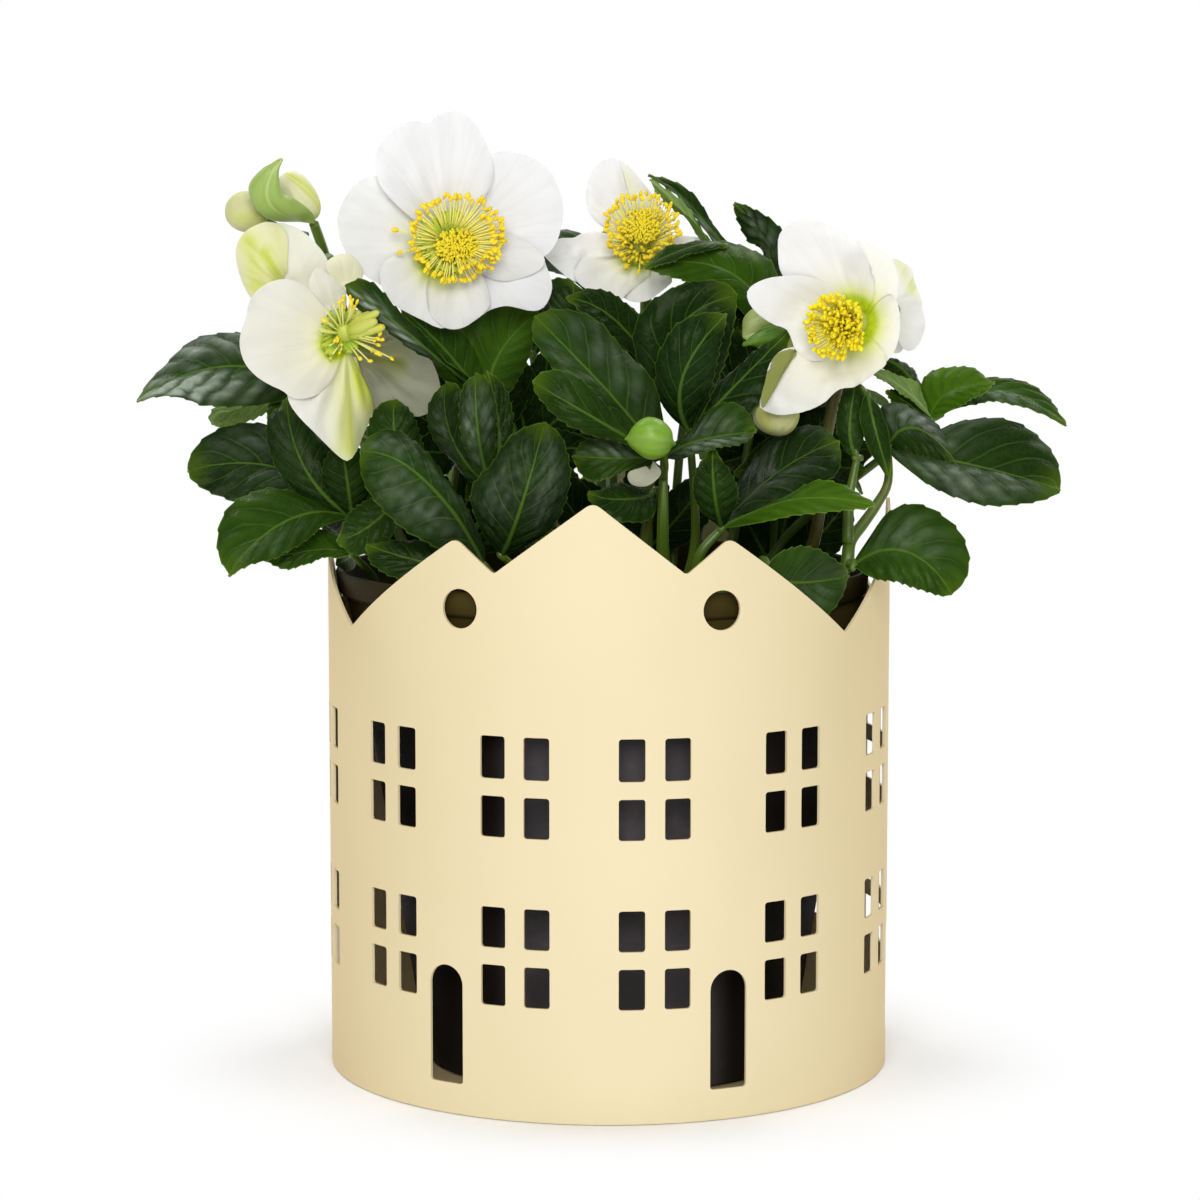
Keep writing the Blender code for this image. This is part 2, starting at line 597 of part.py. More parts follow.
# Back and sides, where the front doesn't reach
BACK = [
    # name, heading, hub radius, hub height, leaflets, spread, length, width, lift, droop, tilt
    ("leaf_back_a", 140, 66, 210, 4, 40, 64, 24, 8, 14, 4),
    ("leaf_back_b", 146, 58, 254, 5, 66, 62, 26, 8, 10, 14),
    ("leaf_back_c", 178, 62, 231, 5, 54, 66, 28, 8, 16, 2),
    ("leaf_back_d", -152, 60, 250, 5, 64, 62, 26, 8, 10, 12),
    ("leaf_back_e", -142, 62, 207, 4, 46, 64, 24, 8, 14, 4),
    ("leaf_back_g", 99, 60, 229, 3, 20, 48, 20, 6, 8, 8),
    ("leaf_back_top", 186, 34, 270, 5, 78, 56, 25, 10, 6, 22),
]
for name, heading, radius, height, count, spread, length, width, lift, droop, tilt in BACK:
    a = math.radians(heading)
    hub = np.array([radius * math.sin(a), -radius * math.cos(a), height])
    leaf(name, hub, fan(hub, heading, count, spread, length, width, lift, droop, tilt), share=0.7, stations=COARSE)


# ---------------------------------------------------------------- flowers
def depth_of(flower, u, v):
    """Depth of a flower's cup at a sketch point: a tilted plane that curls forward with radius."""
    u0, v0, d0, right, up, cup = flower
    x, z = (u - u0) * 0.355, (v0 - v) * 0.355
    return d0 + right * x + up * z - cup * (x * x + z * z) / 1600.0


# centre u, v, depth, recession to the right, recession upward, forward curl at 40 mm
FLOWER_A = (446, 242, -36, 0.30, 0.12, 7.0)
FLOWER_B = (343, 330, -58, 0.42, -0.10, 8.0)
FLOWER_C = (638, 246, 0, 0.10, 0.25, 9.0)
FLOWER_D = (856, 322, -34, -0.12, 0.10, 15.0)
FLOWER_E = (893, 310, 4, -0.9, 0.10, 2.0)

RIM_A = [(428, 124), (452, 112), (476, 129), (490, 155), (530, 158), (554, 176), (563, 205), (558, 240),
         (543, 256), (551, 288), (543, 308), (508, 305), (475, 319), (445, 328), (410, 314), (384, 293),
         (360, 268), (345, 248), (339, 222), (350, 195), (377, 176), (378, 158), (400, 131)]
RIM_B = [(285, 280), (318, 271), (336, 284), (352, 305), (392, 340), (424, 356), (438, 378), (440, 400), (422, 414),
         (393, 408), (372, 410), (364, 440), (347, 460), (322, 446), (300, 420), (288, 398), (255, 380),
         (243, 362), (240, 338), (247, 316), (262, 290)]
RIM_C = [(617, 158), (636, 172), (650, 196), (672, 226), (706, 240), (694, 262), (675, 284), (650, 301),
         (617, 302), (598, 299), (572, 280), (542, 251), (567, 237), (592, 234), (586, 205), (592, 178)]
RIM_D = [(820, 221), (845, 232), (862, 242), (893, 258), (899, 292), (899, 330), (886, 364), (862, 380),
         (838, 391), (810, 410), (775, 414), (757, 404), (778, 352), (792, 342), (768, 320), (746, 292),
         (781, 276), (779, 232), (800, 220)]
RIM_E = [(893, 258), (911, 268), (918, 295), (925, 320), (920, 344), (906, 352), (899, 345), (898, 300)]


def cup(name, flower, rim, shade="sepal", rings=(0.10, 0.42, 0.75, 1.0)):
    """The sepals of one flower as one lobed cup around its receptacle."""
    u0, v0 = flower[:2]
    rows = [[sketch(u0 + (u - u0) * k, v0 + (v - v0) * k, depth_of(flower, u0 + (u - u0) * k, v0 + (v - v0) * k))
             for u, v in rim] for k in rings]
    grid = np.array(rows)
    nr, nc = grid.shape[:2]
    dr = np.gradient(grid, axis=0)
    da = (np.roll(grid, -1, axis=1) - np.roll(grid, 1, axis=1)) / 2
    normal = np.cross(dr, da)
    normal /= np.maximum(np.linalg.norm(normal, axis=2, keepdims=True), 1e-9)
    centre = sketch(u0, v0, flower[2])
    middle = normal[0].mean(axis=0)
    middle /= np.linalg.norm(middle)
    points = list((grid + normal * BLADE_T / 2).reshape(-1, 3)) + list((grid - normal * BLADE_T / 2).reshape(-1, 3))
    n = nr * nc
    points += [centre + middle * BLADE_T / 2, centre - middle * BLADE_T / 2]
    faces = []
    for j in range(nc):
        k = (j + 1) % nc
        faces += [(2 * n, j, k), (2 * n + 1, n + k, n + j)]
        for i in range(nr - 1):
            q = (i * nc + j, (i + 1) * nc + j, (i + 1) * nc + k, i * nc + k)
            faces += [q, tuple(n + p for p in reversed(q))]
        i = (nr - 1) * nc
        faces.append((i + k, i + j, n + i + j, n + i + k))
    obj = mesh_object(name, points, faces)
    form = bmesh.new()
    form.from_mesh(obj.data)
    bmesh.ops.recalc_face_normals(form, faces=form.faces)
    form.to_mesh(obj.data)
    form.free()
    paint(obj, shade)
    return obj


def flower_axis(flower):
    """The way a flower faces: the normal of its plane, towards the front."""
    right, up = flower[3:5]
    axis = np.array([right, -1.0, up])
    return axis / np.linalg.norm(axis)


def cone_between(name, a, b, ra, rb, shade, sides=12):
    a, b = np.asarray(a, float), np.asarray(b, float)
    axis = b - a
    bpy.ops.mesh.primitive_cone_add(vertices=sides, radius1=ra * MM, radius2=rb * MM, depth=np.linalg.norm(axis) * MM,
                                    location=tuple((a + b) / 2 * MM))
    obj = bpy.context.object
    obj.name = name
    obj.rotation_euler = Vector(axis).to_track_quat("Z", "Y").to_euler()
    bpy.ops.object.transform_apply(location=True, rotation=True)
    place(obj, model)
    obj.data.shade_smooth()
    obj.data.set_sharp_from_angle(angle=math.radians(40))
    paint(obj, shade)
    return obj


def flower(letter, spec, rim, lean=(0, 0, 0), head=15.0, root=None, via=None):
    cup(f"flower_{letter}_sepals", spec, rim)
    centre = sketch(*spec[:3])
    axis = flower_axis(spec)
    if head:
        top = centre + axis * head + np.asarray(lean, float)
        cone_between(f"flower_{letter}_stamens", centre + axis * 2.0, top, 3.0, 12.0, "stamen")
    back = centre - axis * 2.2
    foot = np.array([*root, SOIL_TOP + GAP])
    points = [foot] + [np.asarray(p, float) for p in (via or [])] + [back - axis * 9.0 + np.array([0, 0, -4.0]), back]
    stem = tube(f"flower_{letter}_stem", rooted(points, 11), 2.3, 1.8)
    paint(stem, "stem")


flower("a", FLOWER_A, RIM_A, lean=(4, 0, 1), root=(-22, 14), via=[(-36, 10, 230), (-50, -12, 280)])
flower("b", FLOWER_B, RIM_B, lean=(5, -2, -3), head=16.0, root=(-46, 10), via=[(-68, 2, 220), (-88, -22, 258)])
flower("c", FLOWER_C, RIM_C, root=(14, 14), via=[(13, 20, 230), (13, 18, 280)])
flower("d", FLOWER_D, RIM_D, lean=(-6, -2, 0), root=(60, 6), via=[P(813, 545, -12), P(828, 430, -14), P(846, 360, -18)])
flower("e", FLOWER_E, RIM_E, head=0, root=(52, 34), via=[(70, 38, 220), (94, 32, 258)])


def bud(name, centre, tip, radius, shade, sides=12, rings=8):
    """A closed bud: an egg along the line from its centre to its tip."""
    centre, tip = np.asarray(centre, float), np.asarray(tip, float)
    axis = tip - centre
    bpy.ops.mesh.primitive_uv_sphere_add(segments=sides, ring_count=rings, radius=MM)
    obj = bpy.context.object
    obj.name = name
    obj.scale = (radius, radius, np.linalg.norm(axis))
    obj.rotation_euler = Vector(axis).to_track_quat("Z", "Y").to_euler()
    obj.location = tuple(centre * MM)
    bpy.ops.object.transform_apply(location=True, rotation=True, scale=True)
    place(obj, model)
    obj.data.shade_smooth()
    paint(obj, shade)
    return obj


bud("flower_f_half_open", P(284, 262, -36), P(258, 236, -48), 11.5, "sepal_green")
on_stalk(bud("bud_h", P(248, 212, -24), P(228, 207, -30), 6.6, "sepal_green", rings=6),
         [P(258, 214, -22), P(282, 228, -15), P(308, 235, -13)])
on_stalk(bud("bud_j", P(778, 414, -36), P(771, 434, -38), 7.6, "sepal_green", rings=6),
         [P(781, 406, -34), P(800, 388, -22), P(827, 400, -15)])
on_stalk(bud("bud_k", P(648, 438, -78), P(648, 417, -76), 7.4, "bract", rings=6),
         [P(649, 448, -76), P(657, 466, -66), P(663, 478, -58.4)])

side_stem = tube("flower_f_stem", rooted([(-68, 20, SOIL_TOP + GAP), (-88, 18, 220), (-104, 0, 268), P(330, 262, -16), P(320, 262, -26)], 11), 2.2, 1.7)
paint(side_stem, "stem")
high_stem = tube("bract_stem", rooted([(-52, 30, SOIL_TOP + GAP), (-78, 28, 220), (-96, 14, 270), P(323, 250, -10), P(314, 224, -20)], 11), 2.2, 1.7)
paint(high_stem, "stem")

hooked = blade("bract_hooked", P(314, 221, -24), P(276, 202, -42), P(268, 162, -46), P(252, 190, -38), P(296, 190, -36))
paint(hooked, "bract")
bract_bud = bud("bud_in_bract", P(296, 192, -20), P(286, 172, -20), 6.4, "sepal_green", rings=6)
green_bract = blade("bract_beside_d", P(808, 356, -14), P(768, 334, -20), P(744, 338, -20), P(764, 306, -18), P(770, 360, -22))
paint(green_bract, "bract")
on_stalk(green_bract, [P(798, 350, -15.6), P(818, 362, -14), P(834, 374, -16)], 0.9)
hanging = blade("bract_hanging", P(868, 392, -30), P(876, 432, -38), P(889, 478, -36), P(863, 432, -36), P(888, 430, -36))
paint(hanging, "leaf")
on_stalk(hanging, [P(870, 402, -32.3), P(862, 388, -26), P(849, 382, -18)], 0.9)
scrap = blade("petal_scrap", P(650, 470, -72), P(645, 478, -74), P(640, 487, -74), P(629, 474, -74), P(660, 470, -72))
paint(scrap, "sepal")
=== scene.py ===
"""The looks of the potted hellebore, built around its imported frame.

Metres in the scene, millimetres in the tables. -Y is the front. The tables give places on a front
elevation sketch, (u to the right, v down) with the depth behind the pot's axis in mm.
"""
import math

import bmesh
import bpy
import numpy as np
from mathutils import Matrix, Vector
from mathutils.geometry import delaunay_2d_cdt


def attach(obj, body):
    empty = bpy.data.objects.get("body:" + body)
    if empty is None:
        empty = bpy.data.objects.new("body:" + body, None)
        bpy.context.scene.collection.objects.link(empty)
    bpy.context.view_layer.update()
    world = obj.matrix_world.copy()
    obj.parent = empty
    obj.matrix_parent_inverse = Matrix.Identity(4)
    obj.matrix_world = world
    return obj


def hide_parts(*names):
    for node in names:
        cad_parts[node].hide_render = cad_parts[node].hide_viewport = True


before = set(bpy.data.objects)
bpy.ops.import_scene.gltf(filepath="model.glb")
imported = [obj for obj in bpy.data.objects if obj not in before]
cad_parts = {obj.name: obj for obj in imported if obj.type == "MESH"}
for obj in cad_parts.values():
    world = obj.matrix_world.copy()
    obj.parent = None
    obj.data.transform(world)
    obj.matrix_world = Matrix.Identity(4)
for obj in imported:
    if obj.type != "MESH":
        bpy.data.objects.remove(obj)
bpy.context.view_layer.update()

STATION = np.array([0.0, -1281.35, 318.58])
PITCH, YAW, DISTANCE = math.radians(6.818), math.radians(-0.1413), 3610.6
SLEEVE_R, SHEET, SOIL_TOP, GAP = 100.0, 1.0, 160.0, 0.4
BACKDROP, ROOM, CEILING = 1.0, 0.17, 0.22      # how bright the studio is behind, in front and above


# ------------------------------------------------------------------ camera, light and floor
def camera_and_light():
    scene = bpy.context.scene
    scene.view_settings.view_transform = "Standard"
    data = bpy.data.cameras.new("Camera")
    data.lens, data.sensor_width, data.clip_start = 108.32, 36.0, 0.05
    camera = bpy.data.objects.new("Camera", data)
    camera.location = tuple(STATION * 0.001)
    camera.rotation_euler = (math.radians(90) - PITCH, 0, math.radians(0.1413))
    scene.collection.objects.link(camera)
    scene.camera = camera

    # a bright backdrop and ceiling, with a dimmer room in front that the glossy leaves reflect
    world = bpy.data.worlds.new("Studio")
    world.use_nodes = True
    tree = world.node_tree
    background = tree.nodes["Background"]
    background.inputs["Color"].default_value = (1.0, 1.0, 1.0, 1.0)

    def put(kind, *values, **settings):
        made = tree.nodes.new("ShaderNode" + kind)
        for key, value in settings.items():
            setattr(made, key, value)
        for k, value in enumerate(values):
            if isinstance(value, bpy.types.NodeSocket):
                tree.links.new(value, made.inputs[k])
            elif value is not None:
                made.inputs[k].default_value = value
        return made.outputs[0]

    where = tree.nodes.new("ShaderNodeSeparateXYZ")
    tree.links.new(tree.nodes.new("ShaderNodeTexCoord").outputs["Generated"], where.inputs[0])
    back = put("MapRange", where.outputs[1], 0.20, 0.75, 0.0, BACKDROP - ROOM, interpolation_type="SMOOTHSTEP")
    ceiling = put("MapRange", where.outputs[2], 0.30, 0.85, 0.0, CEILING, interpolation_type="SMOOTHSTEP")
    lit = put("Math", put("Math", back, ceiling, operation="ADD"), ROOM, operation="ADD")
    seen = tree.nodes.new("ShaderNodeLightPath").outputs["Is Camera Ray"]
    chosen = tree.nodes.new("ShaderNodeMix")
    tree.links.new(seen, chosen.inputs[0])
    tree.links.new(lit, chosen.inputs[2])
    chosen.inputs[3].default_value = 1.0
    tree.links.new(chosen.outputs[0], background.inputs["Strength"])
    scene.world = world

    def softbox(name, place, aim, width, height, power, colour=(1, 1, 1)):
        light = bpy.data.lights.new(name, "AREA")
        light.shape, light.size, light.size_y, light.energy, light.color = "RECTANGLE", width, height, power, colour
        obj = bpy.data.objects.new(name, light)
        obj.location = place
        obj.rotation_euler = (Vector(aim) - Vector(place)).to_track_quat("-Z", "Y").to_euler()
        scene.collection.objects.link(obj)

    softbox("Key", (-0.05, -1.75, 0.95), (0, 0, 0.13), 1.15, 0.85, 27.0)
    softbox("Top_left", (-0.75, 0.55, 1.35), (0, 0, 0.25), 0.9, 0.45, 7.0)
    softbox("Top_right", (0.80, 0.55, 1.35), (0, 0, 0.25), 0.9, 0.45, 7.0)

    bpy.ops.mesh.primitive_plane_add(size=8.0, location=(0, 0, -0.0003))
    floor = bpy.context.object
    floor.name = "Floor"
    # white paper that runs out into the bright backdrop
    g = Graph("floor_white")
    paper = g.noise(90.0, 3.0)
    across = g.put("SeparateXYZ")
    g.tree.links.new(g.place(), across.inputs[0])
    # painted shadow: the paper is painted darker beside and behind the pot, and a touch blue in front of it against the
    # yellow light the sleeve throws
    white = g.mix(g.between(across.outputs[1], -0.105, -0.015), (0.975, 0.985, 1.0), (0.835, 0.840, 0.860))
    g.surface(g.mix(g.math("MULTIPLY", paper, 0.02), white, (1.0, 1.0, 1.0)), 0.7, Specular_IOR_Level=0.1)
    glow = g.put("Emission")
    glow.inputs["Color"].default_value = (1.0, 1.0, 1.0, 1.0)
    far = g.put("VectorMath", {"operation": "LENGTH"})
    longer = g.put("VectorMath", {"operation": "MULTIPLY"})
    longer.inputs[1].default_value = (1.0, 1.12, 1.0)
    g.tree.links.new(g.place(), longer.inputs[0])
    g.tree.links.new(longer.outputs[0], far.inputs[0])
    blend = g.put("MixShader")
    g.tree.links.new(g.between(far.outputs["Value"], 0.106, 0.172), blend.inputs[0])
    g.tree.links.new(g.bsdf.outputs[0], blend.inputs[1])
    g.tree.links.new(glow.outputs[0], blend.inputs[2])
    g.tree.links.new(blend.outputs[0], next(n for n in g.tree.nodes if n.type == "OUTPUT_MATERIAL").inputs["Surface"])
    floor.data.materials.append(g.material)


# ------------------------------------------------------------------ small tools
def sketch(u, v, d):
    cx, up = (u - 600.0) / DISTANCE, (600.0 - v) / DISTANCE
    cy = math.cos(PITCH) + up * math.sin(PITCH)
    dz = -math.sin(PITCH) + up * math.cos(PITCH)
    ray = np.array([cx * math.cos(YAW) + cy * math.sin(YAW), -cx * math.sin(YAW) + cy * math.cos(YAW), dz])
    return STATION + ray * ((d - STATION[1]) / ray[1])


P = sketch


def sketch_grid(u, v, d):
    """The same as sketch, for whole grids of points."""
    cx, up = (u - 600.0) / DISTANCE, (600.0 - v) / DISTANCE
    cy = math.cos(PITCH) + up * math.sin(PITCH)
    dz = -math.sin(PITCH) + up * math.cos(PITCH)
    ray = np.stack([cx * math.cos(YAW) + cy * math.sin(YAW), -cx * math.sin(YAW) + cy * math.cos(YAW), dz], -1)
    return STATION + ray * ((d - STATION[1]) / ray[..., 1])[..., None]


def unit(v):
    v = np.asarray(v, float)
    return v / max(np.linalg.norm(v), 1e-9)


def step(x, a, b):
    """Smooth 0 to 1 as x goes from a to b."""
    t = np.clip((x - a) / (b - a), 0, 1)
    return t * t * (3 - 2 * t)


class Waves:
    """Smooth, seeded, wandering numbers in a plane: a few sine waves with random headings."""

    def __init__(self, rnd, count=5, low=0.7, high=2.2):
        self.k = rnd.normal(size=(count, 2))
        self.k *= (rnd.uniform(low, high, count) / np.linalg.norm(self.k, axis=1))[:, None] * 2 * math.pi
        self.p = rnd.uniform(0, 2 * math.pi, count)

    def __call__(self, x, y):
        total = sum(np.sin(a * x + b * y + p) for (a, b), p in zip(self.k, self.p))
        return total / math.sqrt(len(self.p) * 0.5) / 2


class Graph:
    """A material's node tree, built from short calls. Sockets and plain numbers can be mixed."""

    def __init__(self, name):
        self.material = bpy.data.materials.new(name)
        self.material.use_nodes = True
        self.tree = self.material.node_tree
        self.bsdf = self.tree.nodes["Principled BSDF"]

    def put(self, kind, settings=None, **inputs):
        made = self.tree.nodes.new("ShaderNode" + kind)
        for key, value in (settings or {}).items():
            setattr(made, key, value)
        for key, value in inputs.items():
            socket = made.inputs[int(key[1:])] if key[0] == "i" and key[1:].isdigit() else made.inputs[key.replace("_", " ")]
            self.feed(socket, value)
        return made

    def feed(self, socket, value):
        if isinstance(value, bpy.types.NodeSocket):
            self.tree.links.new(value, socket)
        elif isinstance(value, (tuple, list)) and len(value) == 3 and socket.type == "RGBA":
            socket.default_value = (*value, 1.0)
        else:
            socket.default_value = value

    def math(self, operation, *values):
        return self.put("Math", {"operation": operation}, **{f"i{k}": v for k, v in enumerate(values)}).outputs[0]

    def mix(self, share, a, b, blend="MIX"):
        made = self.tree.nodes.new("ShaderNodeMix")
        made.data_type, made.blend_type = "RGBA", blend
        self.feed(made.inputs[0], share)
        self.feed(made.inputs[6], a)
        self.feed(made.inputs[7], b)
        return made.outputs[2]

    def between(self, value, low, high, out_low=0.0, out_high=1.0, smooth=True):
        made = self.put("MapRange", {"interpolation_type": "SMOOTHSTEP" if smooth else "LINEAR"},
                        i0=value, i1=low, i2=high, i3=out_low, i4=out_high)
        return made.outputs[0]

    def noise(self, scale, detail=3.0, roughness=0.55, vector=None, distortion=0.0):
        made = self.put("TexNoise", i2=scale, i3=detail, i4=roughness)
        made.inputs["Distortion"].default_value = distortion
        self.tree.links.new(vector or self.place(), made.inputs["Vector"])
        return made.outputs["Fac"]

    def place(self):
        if not hasattr(self, "coordinates"):
            self.coordinates = self.put("TexCoord").outputs["Object"]
        return self.coordinates

    def attribute(self, name):
        made = self.put("Attribute", {"attribute_name": name})
        parts = self.put("SeparateXYZ", i0=made.outputs["Vector"])
        return parts.outputs[0], parts.outputs[1], parts.outputs[2]

    def surface(self, colour=None, roughness=None, bump=None, bump_size=0.0003, bump_strength=0.5, **fixed):
        if colour is not None:
            self.feed(self.bsdf.inputs["Base Color"], colour)
        if roughness is not None:
            self.feed(self.bsdf.inputs["Roughness"], roughness)
        if bump is not None:
            made = self.put("Bump", i0=bump_strength, i1=bump_size)
            self.tree.links.new(bump, made.inputs["Height"])
            self.tree.links.new(made.outputs["Normal"], self.bsdf.inputs["Normal"])
        for key, value in fixed.items():
            self.feed(self.bsdf.inputs[key.replace("_", " ")], value)
        return self.material


class Form:
    """A mesh in the making, in mm, with per-vertex attribute vectors and a material slot per face."""

    def __init__(self):
        self.points, self.faces, self.slots, self.count = [], [], [], 0
        self.vectors = {"grain": [], "kind": []}

    def add(self, points, faces, slot=0, grain=None, kind=(0, 0, 0)):
        points = np.asarray(points, float).reshape(-1, 3)
        n = len(points)
        self.points.append(points)
        self.vectors["grain"].append(np.zeros((n, 3)) if grain is None else np.asarray(grain, float).reshape(-1, 3))
        kind = np.asarray(kind, float)
        self.vectors["kind"].append(np.tile(kind, (n, 1)) if kind.ndim == 1 else kind.reshape(-1, 3))
        for face in faces:
            self.faces.append(tuple(int(k) + self.count for k in face))
        self.slots += [slot] * len(faces)
        self.count += n

    def finish(self, name, materials, nodes=(), slot_name=None, angle=50.0):
        data = bpy.data.meshes.new(name)
        data.from_pydata(np.concatenate(self.points) * 0.001, [], self.faces)
        for made in materials:
            data.materials.append(made)
        data.polygons.foreach_set("material_index", self.slots)
        for key, parts in self.vectors.items():
            layer = data.attributes.new(key, "FLOAT_VECTOR", "POINT")
            layer.data.foreach_set("vector", np.concatenate(parts).astype(np.float32).ravel())
        data.validate()
        data.shade_smooth()
        data.set_sharp_from_angle(angle=math.radians(angle))
        obj = bpy.data.objects.new(name, data)
        bpy.context.scene.collection.objects.link(obj)
        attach(obj, "root")
        if nodes:
            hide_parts(*nodes)
        return obj


def grid_normals(grid, wrap=False):
    du = np.gradient(grid, axis=0)
    dv = (np.roll(grid, -1, 1) - np.roll(grid, 1, 1)) / 2 if wrap else np.gradient(grid, axis=1)
    n = np.cross(du, dv)
    size = np.linalg.norm(n, axis=2, keepdims=True)
    n = n / np.maximum(size, 1e-9)
    bad = size[..., 0] < 1e-6
    if bad.any():
        n[bad] = unit(n[~bad].mean(axis=0))
    return n


def grid_solid(form, grid, thick, grain, kind_top, kind_under, slot=0, slot_under=None):
    """A thin closed body from a grid of points: its top face is on the side of the grid's normal."""
    nr, nc = grid.shape[:2]
    normal = grid_normals(grid)
    half = (np.broadcast_to(thick, (nr, nc)) / 2)[..., None]
    n = nr * nc
    points = np.concatenate([(grid + normal * half).reshape(-1, 3), (grid - normal * half).reshape(-1, 3)])
    index = np.arange(n).reshape(nr, nc)
    a, b, c, d = index[:-1, :-1], index[1:, :-1], index[1:, 1:], index[:-1, 1:]
    top = np.stack([a, b, c, d], -1).reshape(-1, 4)
    under = np.stack([d, c, b, a], -1).reshape(-1, 4) + n
    edge = list(index[:, 0]) + list(index[-1, 1:]) + list(index[-2::-1, -1]) + list(index[0, -2:0:-1])
    rim = [(edge[(k + 1) % len(edge)], edge[k], n + edge[k], n + edge[(k + 1) % len(edge)]) for k in range(len(edge))]
    both = np.concatenate([grain.reshape(-1, 3)] * 2)
    kind = np.concatenate([np.tile(kind_top, (n, 1)), np.tile(kind_under, (n, 1))])
    under_slot = slot if slot_under is None else slot_under
    start = form.count
    form.add(points, top, slot, both, kind)
    form.faces += [tuple(int(k) + start for k in f) for f in list(under) + rim]
    form.slots += [under_slot] * len(under) + [slot] * len(rim)


def smooth_route(points, count):
    p = [np.asarray(q, float) for q in points]
    if len(p) == 2:
        return np.array([p[0] + (p[1] - p[0]) * i / (count - 1) for i in range(count)])
    p = [2 * p[0] - p[1]] + p + [2 * p[-1] - p[-2]]
    spans, out = len(p) - 3, []
    for i in range(count):
        t = i * spans / (count - 1)
        k = min(int(t), spans - 1)
        t -= k
        a, b, c, d = p[k:k + 4]
        out.append(0.5 * (2 * b + (c - a) * t + (2 * a - 5 * b + 4 * c - d) * t * t + (3 * b - a - 3 * c + d) * t ** 3))
    return np.array(out)


def rooted(points, count):
    foot = np.asarray(points[0], float)
    return np.concatenate([[foot + [0, 0, -3.0]], smooth_route([foot + [0, 0, 5.0]] + list(points[1:]), count)])


def tube(form, route, radius, sides=12, slot=0, kind=(0, 0, 0), flat=1.0, ribs=0.0, cap=0.5):
    """A closed round stem along a route; radius is a number or one per point."""
    route = np.asarray(route, float)
    n = len(route)
    radius = np.broadcast_to(radius, n).astype(float)
    heading = np.gradient(route, axis=0)
    heading /= np.maximum(np.linalg.norm(heading, axis=1, keepdims=True), 1e-9)
    side = unit(np.cross(heading[0], [0.3, 1.0, 0.2]))
    rings, grain, run = [], [], 0.0
    for i in range(n):
        side = unit(side - heading[i] * (side @ heading[i]))
        other = np.cross(heading[i], side)
        if i:
            run += np.linalg.norm(route[i] - route[i - 1])
        for j in range(sides):
            a = 2 * math.pi * j / sides
            r = radius[i] * (1 + ribs * math.cos(5 * a))
            rings.append(route[i] + (side * math.cos(a) + other * math.sin(a) * flat) * r)
            grain.append((run, j / sides, radius[i]))
    faces = []
    for i in range(n - 1):
        for j in range(sides):
            k = (j + 1) % sides
            faces.append((i * sides + j, i * sides + k, (i + 1) * sides + k, (i + 1) * sides + j))
    ends = [route[0] - heading[0] * radius[0] * cap, route[-1] + heading[-1] * radius[-1] * cap]
    rings += ends
    grain += [(0, 0, radius[0]), (run, 0, radius[-1])]
    a, b = n * sides, n * sides + 1
    for j in range(sides):
        k = (j + 1) % sides
        faces.append((a, k, j))
        faces.append((b, (n - 1) * sides + j, (n - 1) * sides + k))
    form.add(rings, faces, slot, grain, kind)


def turned(form, centre, axis, profile, sides=16, slot=0, kind=(0, 0, 0), lobes=0, depth=0.0, right=None):
    """A turned body: profile rows (distance along the axis, radius), closed at both ends."""
    axis = unit(axis)
    side = unit(np.cross(axis, [0.31, 0.2, 0.93]) if right is None else np.asarray(right, float) - axis * (np.asarray(right) @ axis))
    other = np.cross(axis, side)
    rings, grain = [], []
    for along, r in profile:
        for j in range(sides):
            a = 2 * math.pi * j / sides
            k = r * (1 - depth * (0.5 + 0.5 * math.cos(lobes * a))) if lobes else r
            rings.append(centre + axis * along + (side * math.cos(a) + other * math.sin(a)) * k)
            grain.append((along, j / sides, r))
    n = len(profile)
    faces = []
    for i in range(n - 1):
        for j in range(sides):
            k = (j + 1) % sides
            faces.append((i * sides + j, i * sides + k, (i + 1) * sides + k, (i + 1) * sides + j))
    first, last = profile[0], profile[-1]
    rings += [centre + axis * (first[0] - first[1] * 0.3), centre + axis * (last[0] + last[1] * 0.3)]
    grain += [(first[0], 0, 0), (last[0], 0, 0)]
    a, b = n * sides, n * sides + 1
    for j in range(sides):
        k = (j + 1) % sides
        faces.append((a, k, j))
        faces.append((b, (n - 1) * sides + j, (n - 1) * sides + k))
    form.add(rings, faces, slot, grain, kind)


